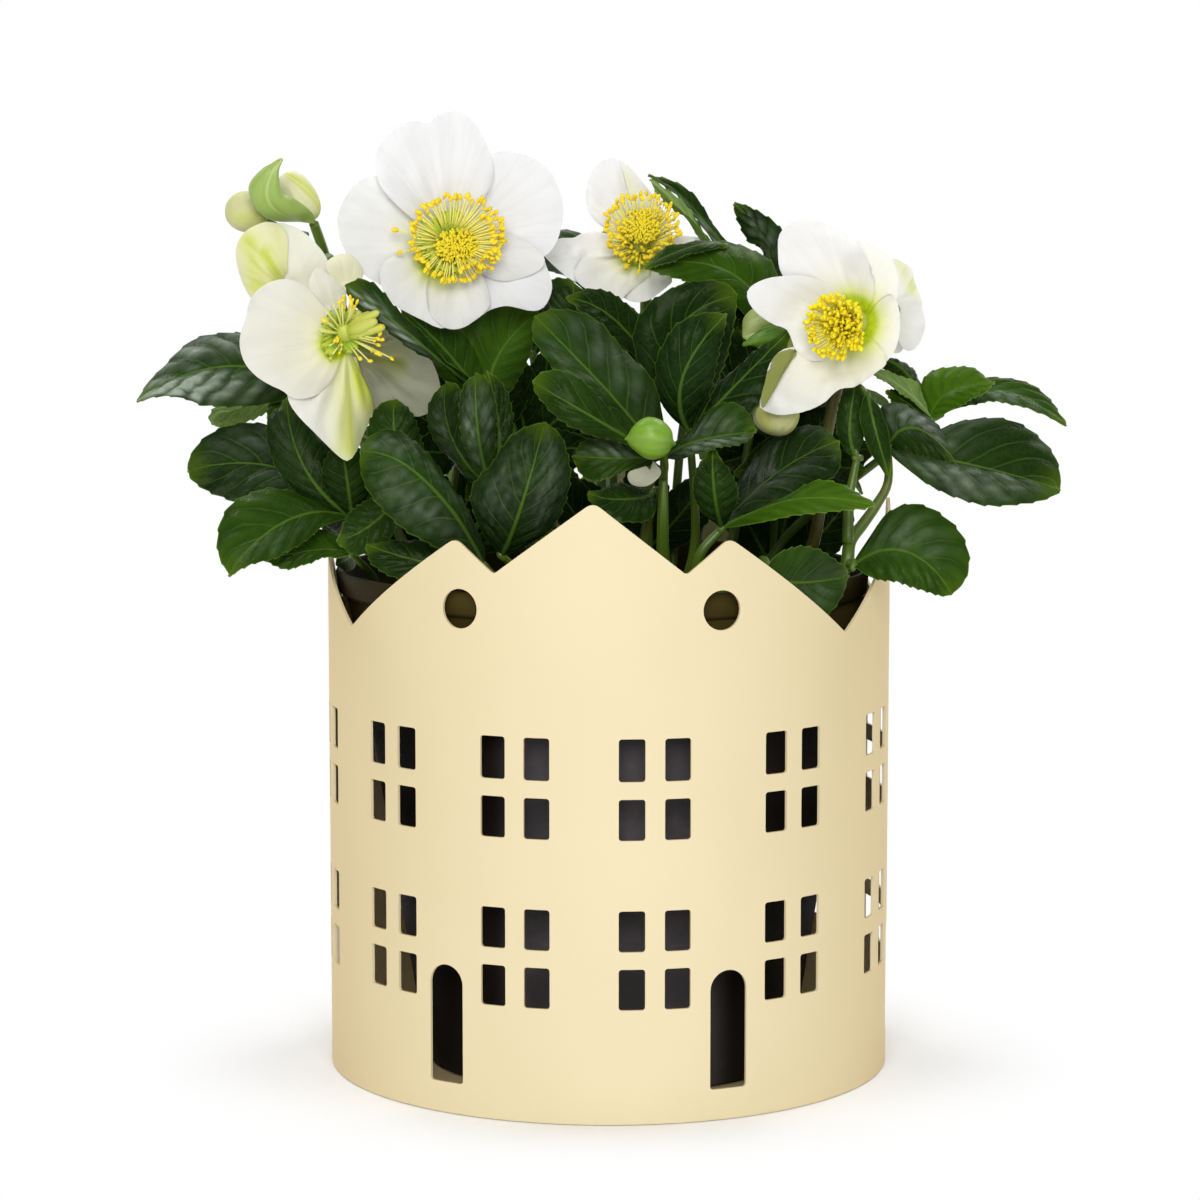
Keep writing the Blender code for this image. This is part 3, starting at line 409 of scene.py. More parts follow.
# ------------------------------------------------------------------ materials
def make_materials():
    m = {}

    # powder coat: cream yellow, very fine orange peel, and a painted highlight: the cut edges are painted lighter where
    # they catch the light
    g = Graph("powder_coat")
    edge, inner, _ = g.attribute("kind")
    tone = g.noise(9.0, 3.0)
    speck = g.noise(2600.0, 2.0, 0.6)
    base = g.mix(g.between(tone, 0.3, 0.7), (0.735, 0.680, 0.506), (0.762, 0.710, 0.537))
    base = g.mix(g.math("MULTIPLY", g.between(speck, 0.55, 0.75), 0.10), base, (0.86, 0.84, 0.70))
    # painted highlight on the cut edges
    base = g.mix(g.math("MULTIPLY", edge, 0.90), base, (0.98, 1.0, 0.95))
    peel = g.math("ADD", g.noise(1500.0, 2.0, 0.5), g.math("MULTIPLY", g.noise(420.0, 2.0, 0.5), 0.6))
    m["coat"] = g.surface(base, g.between(speck, 0.3, 0.7, 0.42, 0.54), peel, 0.00005, 0.35,
                          Specular_IOR_Level=0.30, Coat_Weight=1.0, Coat_Roughness=0.5, Coat_IOR=1.1,
                          Coat_Tint=(1.0, 0.93, 0.80, 1.0))      # the clear top layer is a little yellow

    # nursery pot: thin black plastic with faint mould lines and dust, painted pale grey where light falls through the
    # front panes
    g = Graph("pot_plastic")
    dust_and_painted_light = g.noise(60.0, 4.0, 0.6)
    fine = g.noise(900.0, 2.0, 0.6)
    base = g.mix(g.between(dust_and_painted_light, 0.45, 0.75), (0.092, 0.083, 0.090), (0.132, 0.120, 0.126))
    height = g.put("SeparateXYZ")
    g.tree.links.new(g.place(), height.inputs[0])
    # painted light and shade: the plastic is painted pale in a band down the middle, front and back, where light comes
    # in through the front panes, and dark on both sides
    aside = g.math("ABSOLUTE", g.math("SUBTRACT", height.outputs[0], 0.002))
    base = g.mix(g.between(aside, 0.030, 0.042), base, (0.021, 0.017, 0.015))
    # painted shade: near the rim the plastic is painted brown, the colour of the shaded cream sleeve wall seen through
    # the holes; no soil is splashed there
    base = g.mix(g.between(height.outputs[2], 0.138, 0.158), base, (0.055, 0.040, 0.010))   # splashed with soil near the rim
    # painted shade: darker still on the rim at the two sides, inside the sleeve's notches
    base = g.mix(g.math("MULTIPLY", g.between(height.outputs[2], 0.166, 0.170), g.between(aside, 0.058, 0.072)), base, (0.026, 0.019, 0.005))
    m["plastic"] = g.surface(base, g.between(fine, 0.2, 0.8, 0.50, 0.68), fine, 0.0001, 0.3,
                             Specular_IOR_Level=0.05)

    # potting soil
    g = Graph("potting_soil")
    clump = g.noise(160.0, 5.0, 0.7)
    grit = g.noise(900.0, 3.0, 0.7)
    base = g.mix(g.between(clump, 0.3, 0.7), (0.012, 0.007, 0.004), (0.055, 0.034, 0.018))
    base = g.mix(g.between(grit, 0.62, 0.72), base, (0.11, 0.075, 0.04))
    m["soil"] = g.surface(base, g.between(clump, 0.2, 0.8, 0.75, 0.98), grit, 0.0008, 0.9)
    g = Graph("perlite")
    grain = g.noise(1200.0, 3.0, 0.6)
    m["perlite"] = g.surface(g.mix(grain, (0.45, 0.42, 0.36), (0.72, 0.70, 0.65)), 0.9, grain, 0.0003, 0.6)

    m["leaf"] = leaf_material()
    m["stem"] = stem_material("stem", (0.060, 0.115, 0.006), (0.120, 0.190, 0.015), (0.10, 0.055, 0.02))
    m["stem_brown"] = stem_material("brown_stem", (0.075, 0.065, 0.006), (0.120, 0.110, 0.018), (0.13, 0.05, 0.02))
    m["petiole"] = stem_material("petiole", (0.046, 0.098, 0.005), (0.100, 0.168, 0.014), (0.13, 0.045, 0.02))
    # painted light and shade: the shaded, back, soft, grey, lit and bright sepals are copies of one white sepal painted
    # darker or brighter for the shade or light each flower, bud or scrap is in; the back copy is also greener for the
    # sepal's green back, and the bud copy for the buds' own green tint
    m["sepal"] = sepal_material("sepal", (0.725, 0.723, 0.727), (0.610, 0.608, 0.616))
    m["sepal_dim"] = sepal_material("sepal_shaded", (0.315, 0.323, 0.235), (0.200, 0.207, 0.135), 0.30)
    m["sepal_back_painted_shade"] = sepal_material("sepal_back_painted_shade", (0.24, 0.275, 0.105), (0.16, 0.19, 0.06), 0.4)
    m["sepal_painted_softer_light"] = sepal_material("sepal_painted_softer_light", (0.670, 0.662, 0.650), (0.570, 0.562, 0.552))
    m["sepal_painted_grey_shade"] = sepal_material("sepal_painted_grey_shade", (0.40, 0.40, 0.30), (0.30, 0.30, 0.22), 0.5)
    m["sepal_lit"] = sepal_material("sepal_lit", (0.870, 0.866, 0.868), (0.770, 0.766, 0.772))
    m["sepal_bright"] = sepal_material("sepal_bright", (0.790, 0.787, 0.790), (0.680, 0.677, 0.684))
    m["bud"] = sepal_material("bud_sepal", (0.44, 0.45, 0.23), (0.34, 0.36, 0.14))
    m["bract"] = bract_material()

    g = Graph("anther")
    spot = g.noise(1500.0, 2.0, 0.6)
    m["anther"] = g.surface(g.mix(g.between(spot, 0.3, 0.7), (0.80, 0.55, 0.006), (0.95, 0.78, 0.03)),
                            g.between(spot, 0.2, 0.8, 0.6, 0.85), spot, 0.0002, 0.6)
    g = Graph("lemon_anther")
    spot = g.noise(1500.0, 2.0, 0.6)
    m["lemon"] = g.surface(g.mix(g.between(spot, 0.3, 0.7), (0.90, 0.66, 0.003), (1.0, 0.80, 0.010)),
                           g.between(spot, 0.2, 0.8, 0.6, 0.85), spot, 0.0002, 0.6,
                           Subsurface_Weight=0.6, Subsurface_Scale=0.0025, Subsurface_Radius=(1.0, 0.9, 0.15))
    g = Graph("lemon_filament")
    spot = g.noise(900.0, 2.0, 0.6)
    m["lemon_filament"] = g.surface(g.mix(g.between(spot, 0.3, 0.7), (0.80, 0.70, 0.03), (0.92, 0.84, 0.16)),
                                    g.between(spot, 0.2, 0.8, 0.4, 0.6),
                                    Subsurface_Weight=0.4, Subsurface_Scale=0.0015, Subsurface_Radius=(1.0, 0.9, 0.2))
    g = Graph("lime_filament")
    along, _, _ = g.attribute("grain")
    spot = g.noise(900.0, 2.0, 0.6)
    base = g.mix(g.between(along, 1.0, 8.0), (0.40, 0.52, 0.02), (0.74, 0.74, 0.22))
    m["lime_filament"] = g.surface(g.mix(g.math("MULTIPLY", spot, 0.3), base, (0.62, 0.62, 0.10)),
                                   g.between(spot, 0.2, 0.8, 0.4, 0.6))
    g = Graph("young_anther")
    spot = g.noise(1200.0, 2.0, 0.6)
    m["young"] = g.surface(g.mix(g.between(spot, 0.3, 0.7), (0.72, 0.58, 0.012), (0.90, 0.76, 0.03)),
                           g.between(spot, 0.2, 0.8, 0.5, 0.7), spot, 0.0002, 0.5)
    g = Graph("filament")
    along, _, _ = g.attribute("grain")
    pale = g.noise(700.0, 2.0, 0.5)
    base = g.mix(g.between(along, 1.0, 8.0), (0.54, 0.58, 0.03), (0.84, 0.78, 0.17))
    m["filament"] = g.surface(g.mix(g.math("MULTIPLY", pale, 0.3), base, (0.78, 0.68, 0.12)),
                              g.between(pale, 0.2, 0.8, 0.4, 0.6), Subsurface_Weight=0.15, Subsurface_Scale=0.001)
    g = Graph("nectary")
    along, _, _ = g.attribute("grain")
    pale = g.noise(600.0, 2.0, 0.5)
    base = g.mix(g.between(along, 0.5, 6.5), (0.16, 0.32, 0.008), (0.56, 0.66, 0.08))
    m["nectary"] = g.surface(g.mix(g.math("MULTIPLY", pale, 0.4), base, (0.42, 0.52, 0.05)),
                             g.between(pale, 0.2, 0.8, 0.3, 0.5))
    g = Graph("carpel")
    along, _, _ = g.attribute("grain")
    pale = g.noise(500.0, 2.0, 0.5)
    base = g.mix(g.between(along, 1.0, 9.0), (0.34, 0.45, 0.012), (0.54, 0.56, 0.110))
    m["carpel"] = g.surface(g.mix(g.math("MULTIPLY", pale, 0.4), base, (0.47, 0.52, 0.06)),
                            g.between(pale, 0.2, 0.8, 0.35, 0.55), pale, 0.0002, 0.3)
    return m


def leaf_material():
    """Leathery compound-leaf blade: veins that leave a pale midrib, a fine net between them, a thin pale
    toothed margin, a yellowing tip, and a paler matt underside. Painted shade darkens the grooves along the
    side veins, pale patches of painted sheen stand for highlights, and youth's fresh yellow-green is partly
    painted light through the blade from behind.
    grain = (along 0..1, across -1..1, half width mm); kind = (underside, or painted sheen where negative, tone, youth)."""
    g = Graph("leaf_blade")
    s, x, w = g.attribute("grain")
    under, tone, youth = g.attribute("kind")
    # painted sheen: a negative underside value carries pale highlight patches painted into the top face; they stand for
    # light, not for a wax bloom
    painted_sheen = g.math("MAXIMUM", g.math("MULTIPLY", under, -1.0), 0.0)      # waxy sheen where the blade is smoothest
    under = g.math("MAXIMUM", under, 0.0)
    ax = g.math("ABSOLUTE", x)
    right = g.math("GREATER_THAN", x, 0.0)
    wander = g.noise(70.0, 2.0, 0.5)
    phase = g.math("SUBTRACT", g.math("MULTIPLY", s, 7.0), g.math("MULTIPLY", g.math("POWER", ax, 0.9), 1.75))
    phase = g.math("ADD", phase, g.math("MULTIPLY", right, 0.45))
    phase = g.math("ADD", phase, g.math("MULTIPLY", g.math("SUBTRACT", wander, 0.5), 0.55))
    saw = g.math("FRACT", g.math("ADD", phase, 10.0))
    off = g.math("MINIMUM", saw, g.math("SUBTRACT", 1.0, saw))
    vein = g.between(off, 0.018, 0.075, 1.0, 0.0)
    vein = g.math("MULTIPLY", vein, g.between(ax, 0.45, 0.97, 1.0, 0.0))
    away = g.math("MULTIPLY", ax, w)
    midrib = g.between(g.math("DIVIDE", away, g.math("SUBTRACT", 1.25, s)), 0.35, 0.85, 1.0, 0.0)
    margin = g.between(g.math("MULTIPLY", g.math("SUBTRACT", 1.0, ax), w), 0.12, 0.42, 1.0, 0.0)
    net = g.put("TexVoronoi", {"feature": "DISTANCE_TO_EDGE"}, i2=330.0)
    g.tree.links.new(g.place(), net.inputs["Vector"])
    mesh = g.between(net.outputs["Distance"], 0.02, 0.16, 1.0, 0.0)
    cloud = g.noise(45.0, 3.0, 0.6)
    dark = g.mix(tone, (0.0045, 0.0130, 0.0030), (0.0120, 0.0300, 0.0040))
    light = g.mix(tone, (0.0095, 0.0270, 0.0050), (0.0250, 0.0620, 0.0060))
    base = g.mix(g.between(cloud, 0.3, 0.7), dark, light)
    base = g.mix(g.math("MULTIPLY", mesh, 0.22), base, (0.026, 0.056, 0.010))
    # youth mixes in a fresher yellow-green: partly the colour of young leaves, partly painted light shining through the
    # blade from behind
    fresh_and_backlit = g.mix(g.between(cloud, 0.3, 0.7), (0.055, 0.150, 0.003), (0.100, 0.220, 0.006))
    base = g.mix(youth, base, fresh_and_backlit)
    # painted shade: each bay between side veins is painted darker toward the veins, as in the sunken grooves along them
    vein_groove_shade = g.math("MULTIPLY", g.between(off, 0.05, 0.40, 1.0, 0.0), g.between(ax, 0.10, 0.35))
    base = g.mix(g.math("MULTIPLY", vein_groove_shade, 0.35), base, g.mix(youth, (0.0040, 0.0120, 0.0025), (0.030, 0.085, 0.003)))
    base = g.mix(g.math("MULTIPLY", g.between(s, 0.82, 1.0), 0.50), base, (0.085, 0.150, 0.006))
    base = g.mix(g.math("MULTIPLY", vein, 0.42), base, (0.052, 0.112, 0.014))
    base = g.mix(g.math("MULTIPLY", midrib, 0.60), base, (0.085, 0.170, 0.020))
    # painted sheen: the patches are mixed toward a pale grey-green highlight colour
    painted_sheen_amount = g.math("MULTIPLY", painted_sheen, g.between(g.noise(420.0, 3.0, 0.6), 0.25, 0.75, 0.75, 1.0))
    base = g.mix(painted_sheen_amount, base, (0.315, 0.375, 0.300))
    base = g.mix(g.math("MULTIPLY", margin, g.between(youth, 0.0, 0.3, 0.34, 0.80)), base, (0.105, 0.195, 0.014))
    pale = g.mix(g.between(cloud, 0.3, 0.7), (0.130, 0.215, 0.050), (0.205, 0.305, 0.090))
    pale = g.mix(g.math("MULTIPLY", mesh, 0.25), pale, (0.085, 0.160, 0.030))
    pale = g.mix(g.math("MULTIPLY", g.math("MAXIMUM", vein, midrib), 0.6), pale, (0.30, 0.40, 0.15))
    base = g.mix(under, base, pale)
    gloss = g.between(g.noise(60.0, 3.0, 0.6), 0.3, 0.7, 0.19, 0.34)
    rough = g.put("Mix", {"data_type": "FLOAT"}, i0=under, i2=gloss, i3=0.62).outputs[0]
    relief = g.math("SUBTRACT", g.math("MULTIPLY", g.noise(260.0, 2.0, 0.5), 0.30), g.math("MULTIPLY", mesh, 0.24))
    relief = g.math("SUBTRACT", relief, g.math("MULTIPLY", vein, 0.9))
    relief = g.math("SUBTRACT", relief, g.math("MULTIPLY", midrib, 0.8))
    return g.surface(base, rough, relief, 0.00030, 0.38, Specular_IOR_Level=0.05,
                     Specular_Tint=(0.94, 1.0, 0.66, 1.0))


def stem_material(name, dark, light, red):
    g = Graph(name)
    along, around, _ = g.attribute("grain")
    stretch = g.put("CombineXYZ", i0=g.math("MULTIPLY", along, 0.02), i1=g.math("MULTIPLY", around, 9.0), i2=0.0)
    streak = g.noise(1.0, 3.0, 0.6, stretch.outputs[0])
    cloud = g.noise(40.0, 3.0, 0.6)
    base = g.mix(g.between(streak, 0.3, 0.7), dark, light)
    base = g.mix(g.math("MULTIPLY", g.between(cloud, 0.50, 0.75), 0.55), base, red)
    return g.surface(base, g.between(streak, 0.2, 0.8, 0.32, 0.48), streak, 0.0002, 0.4)


def sepal_material(name, light, shade, lit=1.0):
    """White sepal: fine fan-like veins, a green throat, creamy tints, soft light through it. Its light and shade
    colours, and lit, which scales the tints, set how brightly a copy is painted: painted light and shade.
    grain = (along 0..1, across -1..1, seed); kind = (green, warm, green streaks)."""
    g = Graph(name)
    s, x, seed = g.attribute("grain")
    green, warm, lined = g.attribute("kind")
    lines = g.put("CombineXYZ", i0=g.math("MULTIPLY", s, 1.3), i1=g.math("MULTIPLY", x, 15.0), i2=g.math("MULTIPLY", seed, 7.0))
    streak = g.noise(1.0, 4.0, 0.6, lines.outputs[0], 0.3)
    broad = g.put("CombineXYZ", i0=g.math("MULTIPLY", s, 0.7), i1=g.math("MULTIPLY", x, 4.5), i2=g.math("MULTIPLY", seed, 5.0))
    band = g.noise(1.0, 2.0, 0.5, broad.outputs[0], 0.2)
    base = g.mix(g.math("MULTIPLY", g.between(streak, 0.45, 0.70), 0.30), light, shade)
    base = g.mix(g.math("MULTIPLY", g.between(band, 0.42, 0.72), 0.22), base, shade)
    cream = g.math("MULTIPLY", warm, g.between(streak, 0.2, 0.7, 1.0, 0.75))
    base = g.mix(cream, base, tuple(lit * c for c in (0.775, 0.755, 0.420)))
    stripe = g.math("MULTIPLY", lined, g.between(band, 0.36, 0.60, 0.50, 1.0))
    base = g.mix(stripe, base, g.mix(g.between(streak, 0.3, 0.7), tuple(lit * c for c in (0.49, 0.56, 0.040)), tuple(lit * c for c in (0.61, 0.65, 0.100))))
    fringe = g.mix(g.between(streak, 0.3, 0.7), (0.52, 0.60, 0.012), (0.60, 0.66, 0.030))
    depth = g.mix(g.between(streak, 0.3, 0.7), (0.33, 0.44, 0.001), (0.44, 0.54, 0.002))
    base = g.mix(green, base, g.mix(g.between(green, 0.55, 1.0), fringe, depth))
    return g.surface(base, g.between(streak, 0.2, 0.8, 0.45, 0.62), streak, 0.0003, 0.22,
                     Subsurface_Weight=0.40, Subsurface_Scale=0.0018, Subsurface_Radius=(1.0, 1.0, 1.0),
                     Specular_IOR_Level=0.12)


def bract_material():
    """Leafy bracts and buds: pale green to cream, streaked lengthwise. kind = (green 0..1, unused, seed)."""
    g = Graph("bract")
    s, x, w = g.attribute("grain")
    green, deep, seed = g.attribute("kind")
    lines = g.put("CombineXYZ", i0=g.math("MULTIPLY", s, 1.5), i1=g.math("MULTIPLY", x, 10.0), i2=g.math("MULTIPLY", seed, 7.0))
    streak = g.noise(1.0, 4.0, 0.6, lines.outputs[0], 0.3)
    cream = g.mix(g.between(streak, 0.3, 0.7), (0.79, 0.81, 0.42), (0.66, 0.73, 0.24))
    leafy = g.mix(g.between(streak, 0.3, 0.7), (0.150, 0.305, 0.018), (0.200, 0.365, 0.028))
    base = g.mix(green, cream, leafy)
    base = g.mix(deep, base, g.mix(g.between(streak, 0.3, 0.7), (0.07, 0.19, 0.01), (0.16, 0.32, 0.03)))
    rib = g.between(g.math("MULTIPLY", g.math("ABSOLUTE", x), w), 0.2, 0.7, 1.0, 0.0)
    base = g.mix(g.math("MULTIPLY", rib, g.between(green, 0.7, 1.0, 0.35, 0.05)), base, (0.60, 0.70, 0.30))
    return g.surface(base, g.between(streak, 0.2, 0.8, 0.34, 0.50), streak, 0.0003, 0.4,
                     Subsurface_Weight=0.12, Subsurface_Scale=0.002)


# ------------------------------------------------------------------ sleeve
COLUMNS = [-47.8, -18.4, 8.9, 38.8, 69.9, 101.0, 131.5, 161.5, -168.5, -138.5, -109.0, -78.6]
PANE_IN, PANE_OUT = 1.9, 7.0
PANE_ROWS = [(39.1, 53.0), (58.9, 72.8), (96.6, 110.5), (116.4, 130.8)]
DOORS = [-33.4, 23.8, 85.4, 146.5, -153.5, -93.8]
DOOR_W, DOOR_SILL, DOOR_TOP = 13.4, 10.5, 51.2
ATTIC = [(-29.9, 172.8), (22.1, 173.0), (150.1, 172.8), (-157.9, 173.0)]
ATTIC_R = 6.7
SKYLINE = [
    (-180.0, 208.6), (-162.1, 185.4), (-156.4, 195.9), (-126.1, 161.3), (-113.0, 176.5),
    (-102.0, 164.0), (-89.0, 190.0), (-62.6, 161.6), (-30.8, 196.4), (-22.5, 185.0),
    (-3.0, 209.6), (14.9, 185.2), (23.6, 197.0), (53.9, 161.3), (91.0, 204.0),
    (101.0, 162.0), (113.0, 174.0), (122.0, 161.6), (149.2, 195.3), (157.5, 185.3),
    (180.0, 208.6),
]
ARC = math.radians(1.0) * SLEEVE_R        # mm along the wall per degree


def rounded_polyline(points, radii, steps=6):
    """Rounds each inner corner of an open line with an arc of about its radius."""
    out = [np.array(points[0], float)]
    for before, corner, after, r in zip(points, points[1:], points[2:], radii[1:]):
        c = np.array(corner, float)
        a, b = unit(np.array(before) - c), unit(np.array(after) - c)
        half = math.acos(np.clip(a @ b, -1, 1)) / 2
        reach = min(r / math.tan(half), 0.45 * np.linalg.norm(np.array(before) - c), 0.45 * np.linalg.norm(np.array(after) - c))
        p, q = c + a * reach, c + b * reach
        for k in range(steps + 1):
            t = k / steps
            out.append(p * (1 - t) ** 2 + 2 * c * t * (1 - t) + q * t * t)
    out.append(np.array(points[-1], float))
    return out


def rounded_box(x0, x1, z0, z1, r, steps=3):
    out = []
    for cx, cz, start in ((x1 - r, z1 - r, 0), (x0 + r, z1 - r, 90), (x0 + r, z0 + r, 180), (x1 - r, z0 + r, 270)):
        for k in range(steps + 1):
            a = math.radians(start + 90 * k / steps)
            out.append((cx + r * math.cos(a), cz + r * math.sin(a)))
    return out


def make_sleeve(m):
    sharp = [(a * ARC, z) for a, z in SKYLINE]
    radii = []
    for k, (x, z) in enumerate(sharp):
        peak = 0 < k < len(sharp) - 1 and z > sharp[k - 1][1] and z > sharp[k + 1][1]
        low = z < 170
        radii.append(4.2 if peak else (0.9 if low else 1.8))
    skyline = rounded_polyline(sharp, radii)
    half = 180 * ARC
    # the two ends meet at a gable's ridge
    holes = []
    for c in COLUMNS:
        for low, high in ((-PANE_OUT, -PANE_IN), (PANE_IN, PANE_OUT)):
            for z0, z1 in PANE_ROWS:
                holes.append(rounded_box((c + low) * ARC, (c + high) * ARC, z0, z1, 1.0))
    for c in DOORS:
        r, cx = DOOR_W / 2, c * ARC
        outline = [(cx - r + 0.7, DOOR_SILL), (cx + r - 0.7, DOOR_SILL), (cx + r, DOOR_SILL + 0.7)]
        outline += [(cx + r * math.cos(math.radians(t)), DOOR_TOP - r + r * math.sin(math.radians(t))) for t in range(0, 181, 12)]
        outline.append((cx - r, DOOR_SILL + 0.7))
        holes.append(outline)
    for c, z in ATTIC:
        holes.append([(c * ARC + ATTIC_R * math.cos(math.radians(t)), z + ATTIC_R * math.sin(math.radians(t))) for t in range(0, 360, 12)])
    points, edges = [], []

    def loop(line, closed=True):
        start = len(points)
        points.extend((float(x), float(z)) for x, z in line)
        n = len(line)
        edges.extend((start + k, start + (k + 1) % n) for k in range(n if closed else n - 1))

    loop([(-half, 0.0)] + [tuple(p) for p in skyline] + [(half, 0.0)])
    for hole in holes:
        loop(hole)
    columns = 240
    for k in range(1, columns):
        x = -half + 2 * half * k / columns
        start = len(points)
        points.extend([(x, 0.0), (x, 230.0)])
        edges.append((start, start + 1))
    verts, _, faces, _, _, _ = delaunay_2d_cdt([Vector(p) for p in points], edges, [], 0, 1e-5)
    flat = np.array([tuple(v) for v in verts])

    def inside(polygon, x, z):
        hit = False
        for (x0, z0), (x1, z1) in zip(polygon, polygon[1:] + polygon[:1]):
            if (z0 > z) != (z1 > z) and x < x0 + (x1 - x0) * (z - z0) / (z1 - z0):
                hit = not hit
        return hit

    boxes = [(min(p[0] for p in h), max(p[0] for p in h), min(p[1] for p in h), max(p[1] for p in h)) for h in holes]
    sky_x, sky_z = np.array([p[0] for p in skyline]), np.array([p[1] for p in skyline])
    kept = []
    for face in faces:
        x, z = flat[list(face)].mean(axis=0)
        if z > np.interp(x, sky_x, sky_z) or abs(x) > half or z < 0:
            continue
        if any(b[0] < x < b[1] and b[2] < z < b[3] and inside(h, x, z) for h, b in zip(holes, boxes)):
            continue
        kept.append(face)
    form = bmesh.new()
    wrapped = []
    for x, z in flat:
        a = x / SLEEVE_R
        wrapped.append(form.verts.new((SLEEVE_R * math.sin(a) * 0.001, -SLEEVE_R * math.cos(a) * 0.001, z * 0.001)))
    for face in kept:
        form.faces.new([wrapped[k] for k in face])
    loose = [v for v in form.verts if not v.link_faces]
    bmesh.ops.delete(form, geom=loose, context="VERTS")
    bmesh.ops.remove_doubles(form, verts=form.verts, dist=2e-6)
    # outward faces, then the inner face and the rims
    for face in form.faces:
        c = face.calc_center_median()
        if face.normal.x * c.x + face.normal.y * c.y < 0:
            face.normal_flip()
    data = bpy.data.meshes.new("sleeve_outer")
    form.to_mesh(data)
    form.free()
    co = np.empty(len(data.vertices) * 3)
    data.vertices.foreach_get("co", co)
    co = co.reshape(-1, 3)
    tris = np.array([tuple(p.vertices) for p in data.polygons])
    bpy.data.meshes.remove(data)
    n = len(co)
    radial = co.copy()
    radial[:, 2] = 0
    radial /= np.linalg.norm(radial, axis=1, keepdims=True)
    inner = co - radial * SHEET * 0.001
    ends = np.concatenate([tris[:, [0, 1]], tris[:, [1, 2]], tris[:, [2, 0]]])
    seen = {}
    for a, b in ends:
        seen[(a, b)] = 1
    rim = [(b, a, n + a, n + b) for a, b in seen if (b, a) not in seen]
    data = bpy.data.meshes.new("sleeve_shell")
    data.from_pydata(np.concatenate([co, inner]), [], [tuple(t) for t in tris] + [tuple(n + k for k in t[::-1]) for t in tris] + rim)
    data.validate()
    obj = bpy.data.objects.new("sleeve_shell", data)
    bpy.context.scene.collection.objects.link(obj)
    bevel = obj.modifiers.new("edge", "BEVEL")
    bevel.width, bevel.segments, bevel.limit_method, bevel.angle_limit = 0.00028, 3, "ANGLE", math.radians(60)
    bevel.harden_normals = False
    bpy.context.view_layer.update()
    made = bpy.data.meshes.new_from_object(obj.evaluated_get(bpy.context.evaluated_depsgraph_get()))
    obj.modifiers.clear()
    obj.data = made
    count = len(made.vertices)
    co = np.empty(count * 3)
    made.vertices.foreach_get("co", co)
    co = co.reshape(-1, 3)
    r = np.hypot(co[:, 0], co[:, 1]) * 1000
    kind = np.zeros((count, 3), np.float32)
    # the first kind value marks the cut edges, where the coat paints a highlight
    kind[:, 0] = step(np.minimum(SLEEVE_R - r, r - (SLEEVE_R - SHEET)), 0.02, 0.15)
    kind[:, 1] = (r < SLEEVE_R - SHEET / 2)
    made.attributes.new("kind", "FLOAT_VECTOR", "POINT").data.foreach_set("vector", kind.ravel())
    made.shade_smooth()
    # exact normals on the two rolled faces, so that the long triangles shade as one cylinder
    corner_normals = np.array([tuple(c.vector) for c in made.corner_normals])
    loops = np.empty(len(made.loops), int)
    made.loops.foreach_get("vertex_index", loops)
    radial = co.copy()
    radial[:, 2] = 0
    radial /= np.linalg.norm(radial, axis=1, keepdims=True)
    for polygon in made.polygons:
        normal = np.array(polygon.normal)
        centre = radial[loops[polygon.loop_start]]
        along = normal @ centre
        if abs(along) > 0.97:
            for k in polygon.loop_indices:
                corner_normals[k] = radial[loops[k]] * math.copysign(1, along)
        elif abs(along) < 0.2:
            for k in polygon.loop_indices:
                corner_normals[k] = normal
    made.normals_split_custom_set([tuple(v) for v in corner_normals])
    made.materials.clear()
    made.materials.append(m["coat"])
    made.name = "sleeve_shell"
    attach(obj, "root")
    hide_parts("pot_sleeve")
    return obj


# ------------------------------------------------------------------ nursery pot and soil
def lathe(form, rows, sides, slot=0, kind=(0, 0, 0), wobble=None):
    """A closed turned solid from (radius, height) rows that start and end on the axis."""
    rings, grain, faces = [], [], []
    for i, (r, z) in enumerate(rows):
        for j in range(sides):
            a = 2 * math.pi * j / sides
            rr = r if wobble is None else r + wobble(a, z, r)
            rings.append((rr * math.cos(a), rr * math.sin(a), z))
            grain.append((z, j / sides, r))
    n = len(rows)
    for i in range(n - 1):
        for j in range(sides):
            k = (j + 1) % sides
            faces.append((i * sides + j, i * sides + k, (i + 1) * sides + k, (i + 1) * sides + j))
    rings += [(0, 0, rows[0][1]), (0, 0, rows[-1][1])]
    grain += [(rows[0][1], 0, 0), (rows[-1][1], 0, 0)]
    for j in range(sides):
        k = (j + 1) % sides
        faces.append((n * sides, k, j))
        faces.append((n * sides + 1, (n - 1) * sides + j, (n - 1) * sides + k))
    form.add(rings, faces, slot, grain, kind)


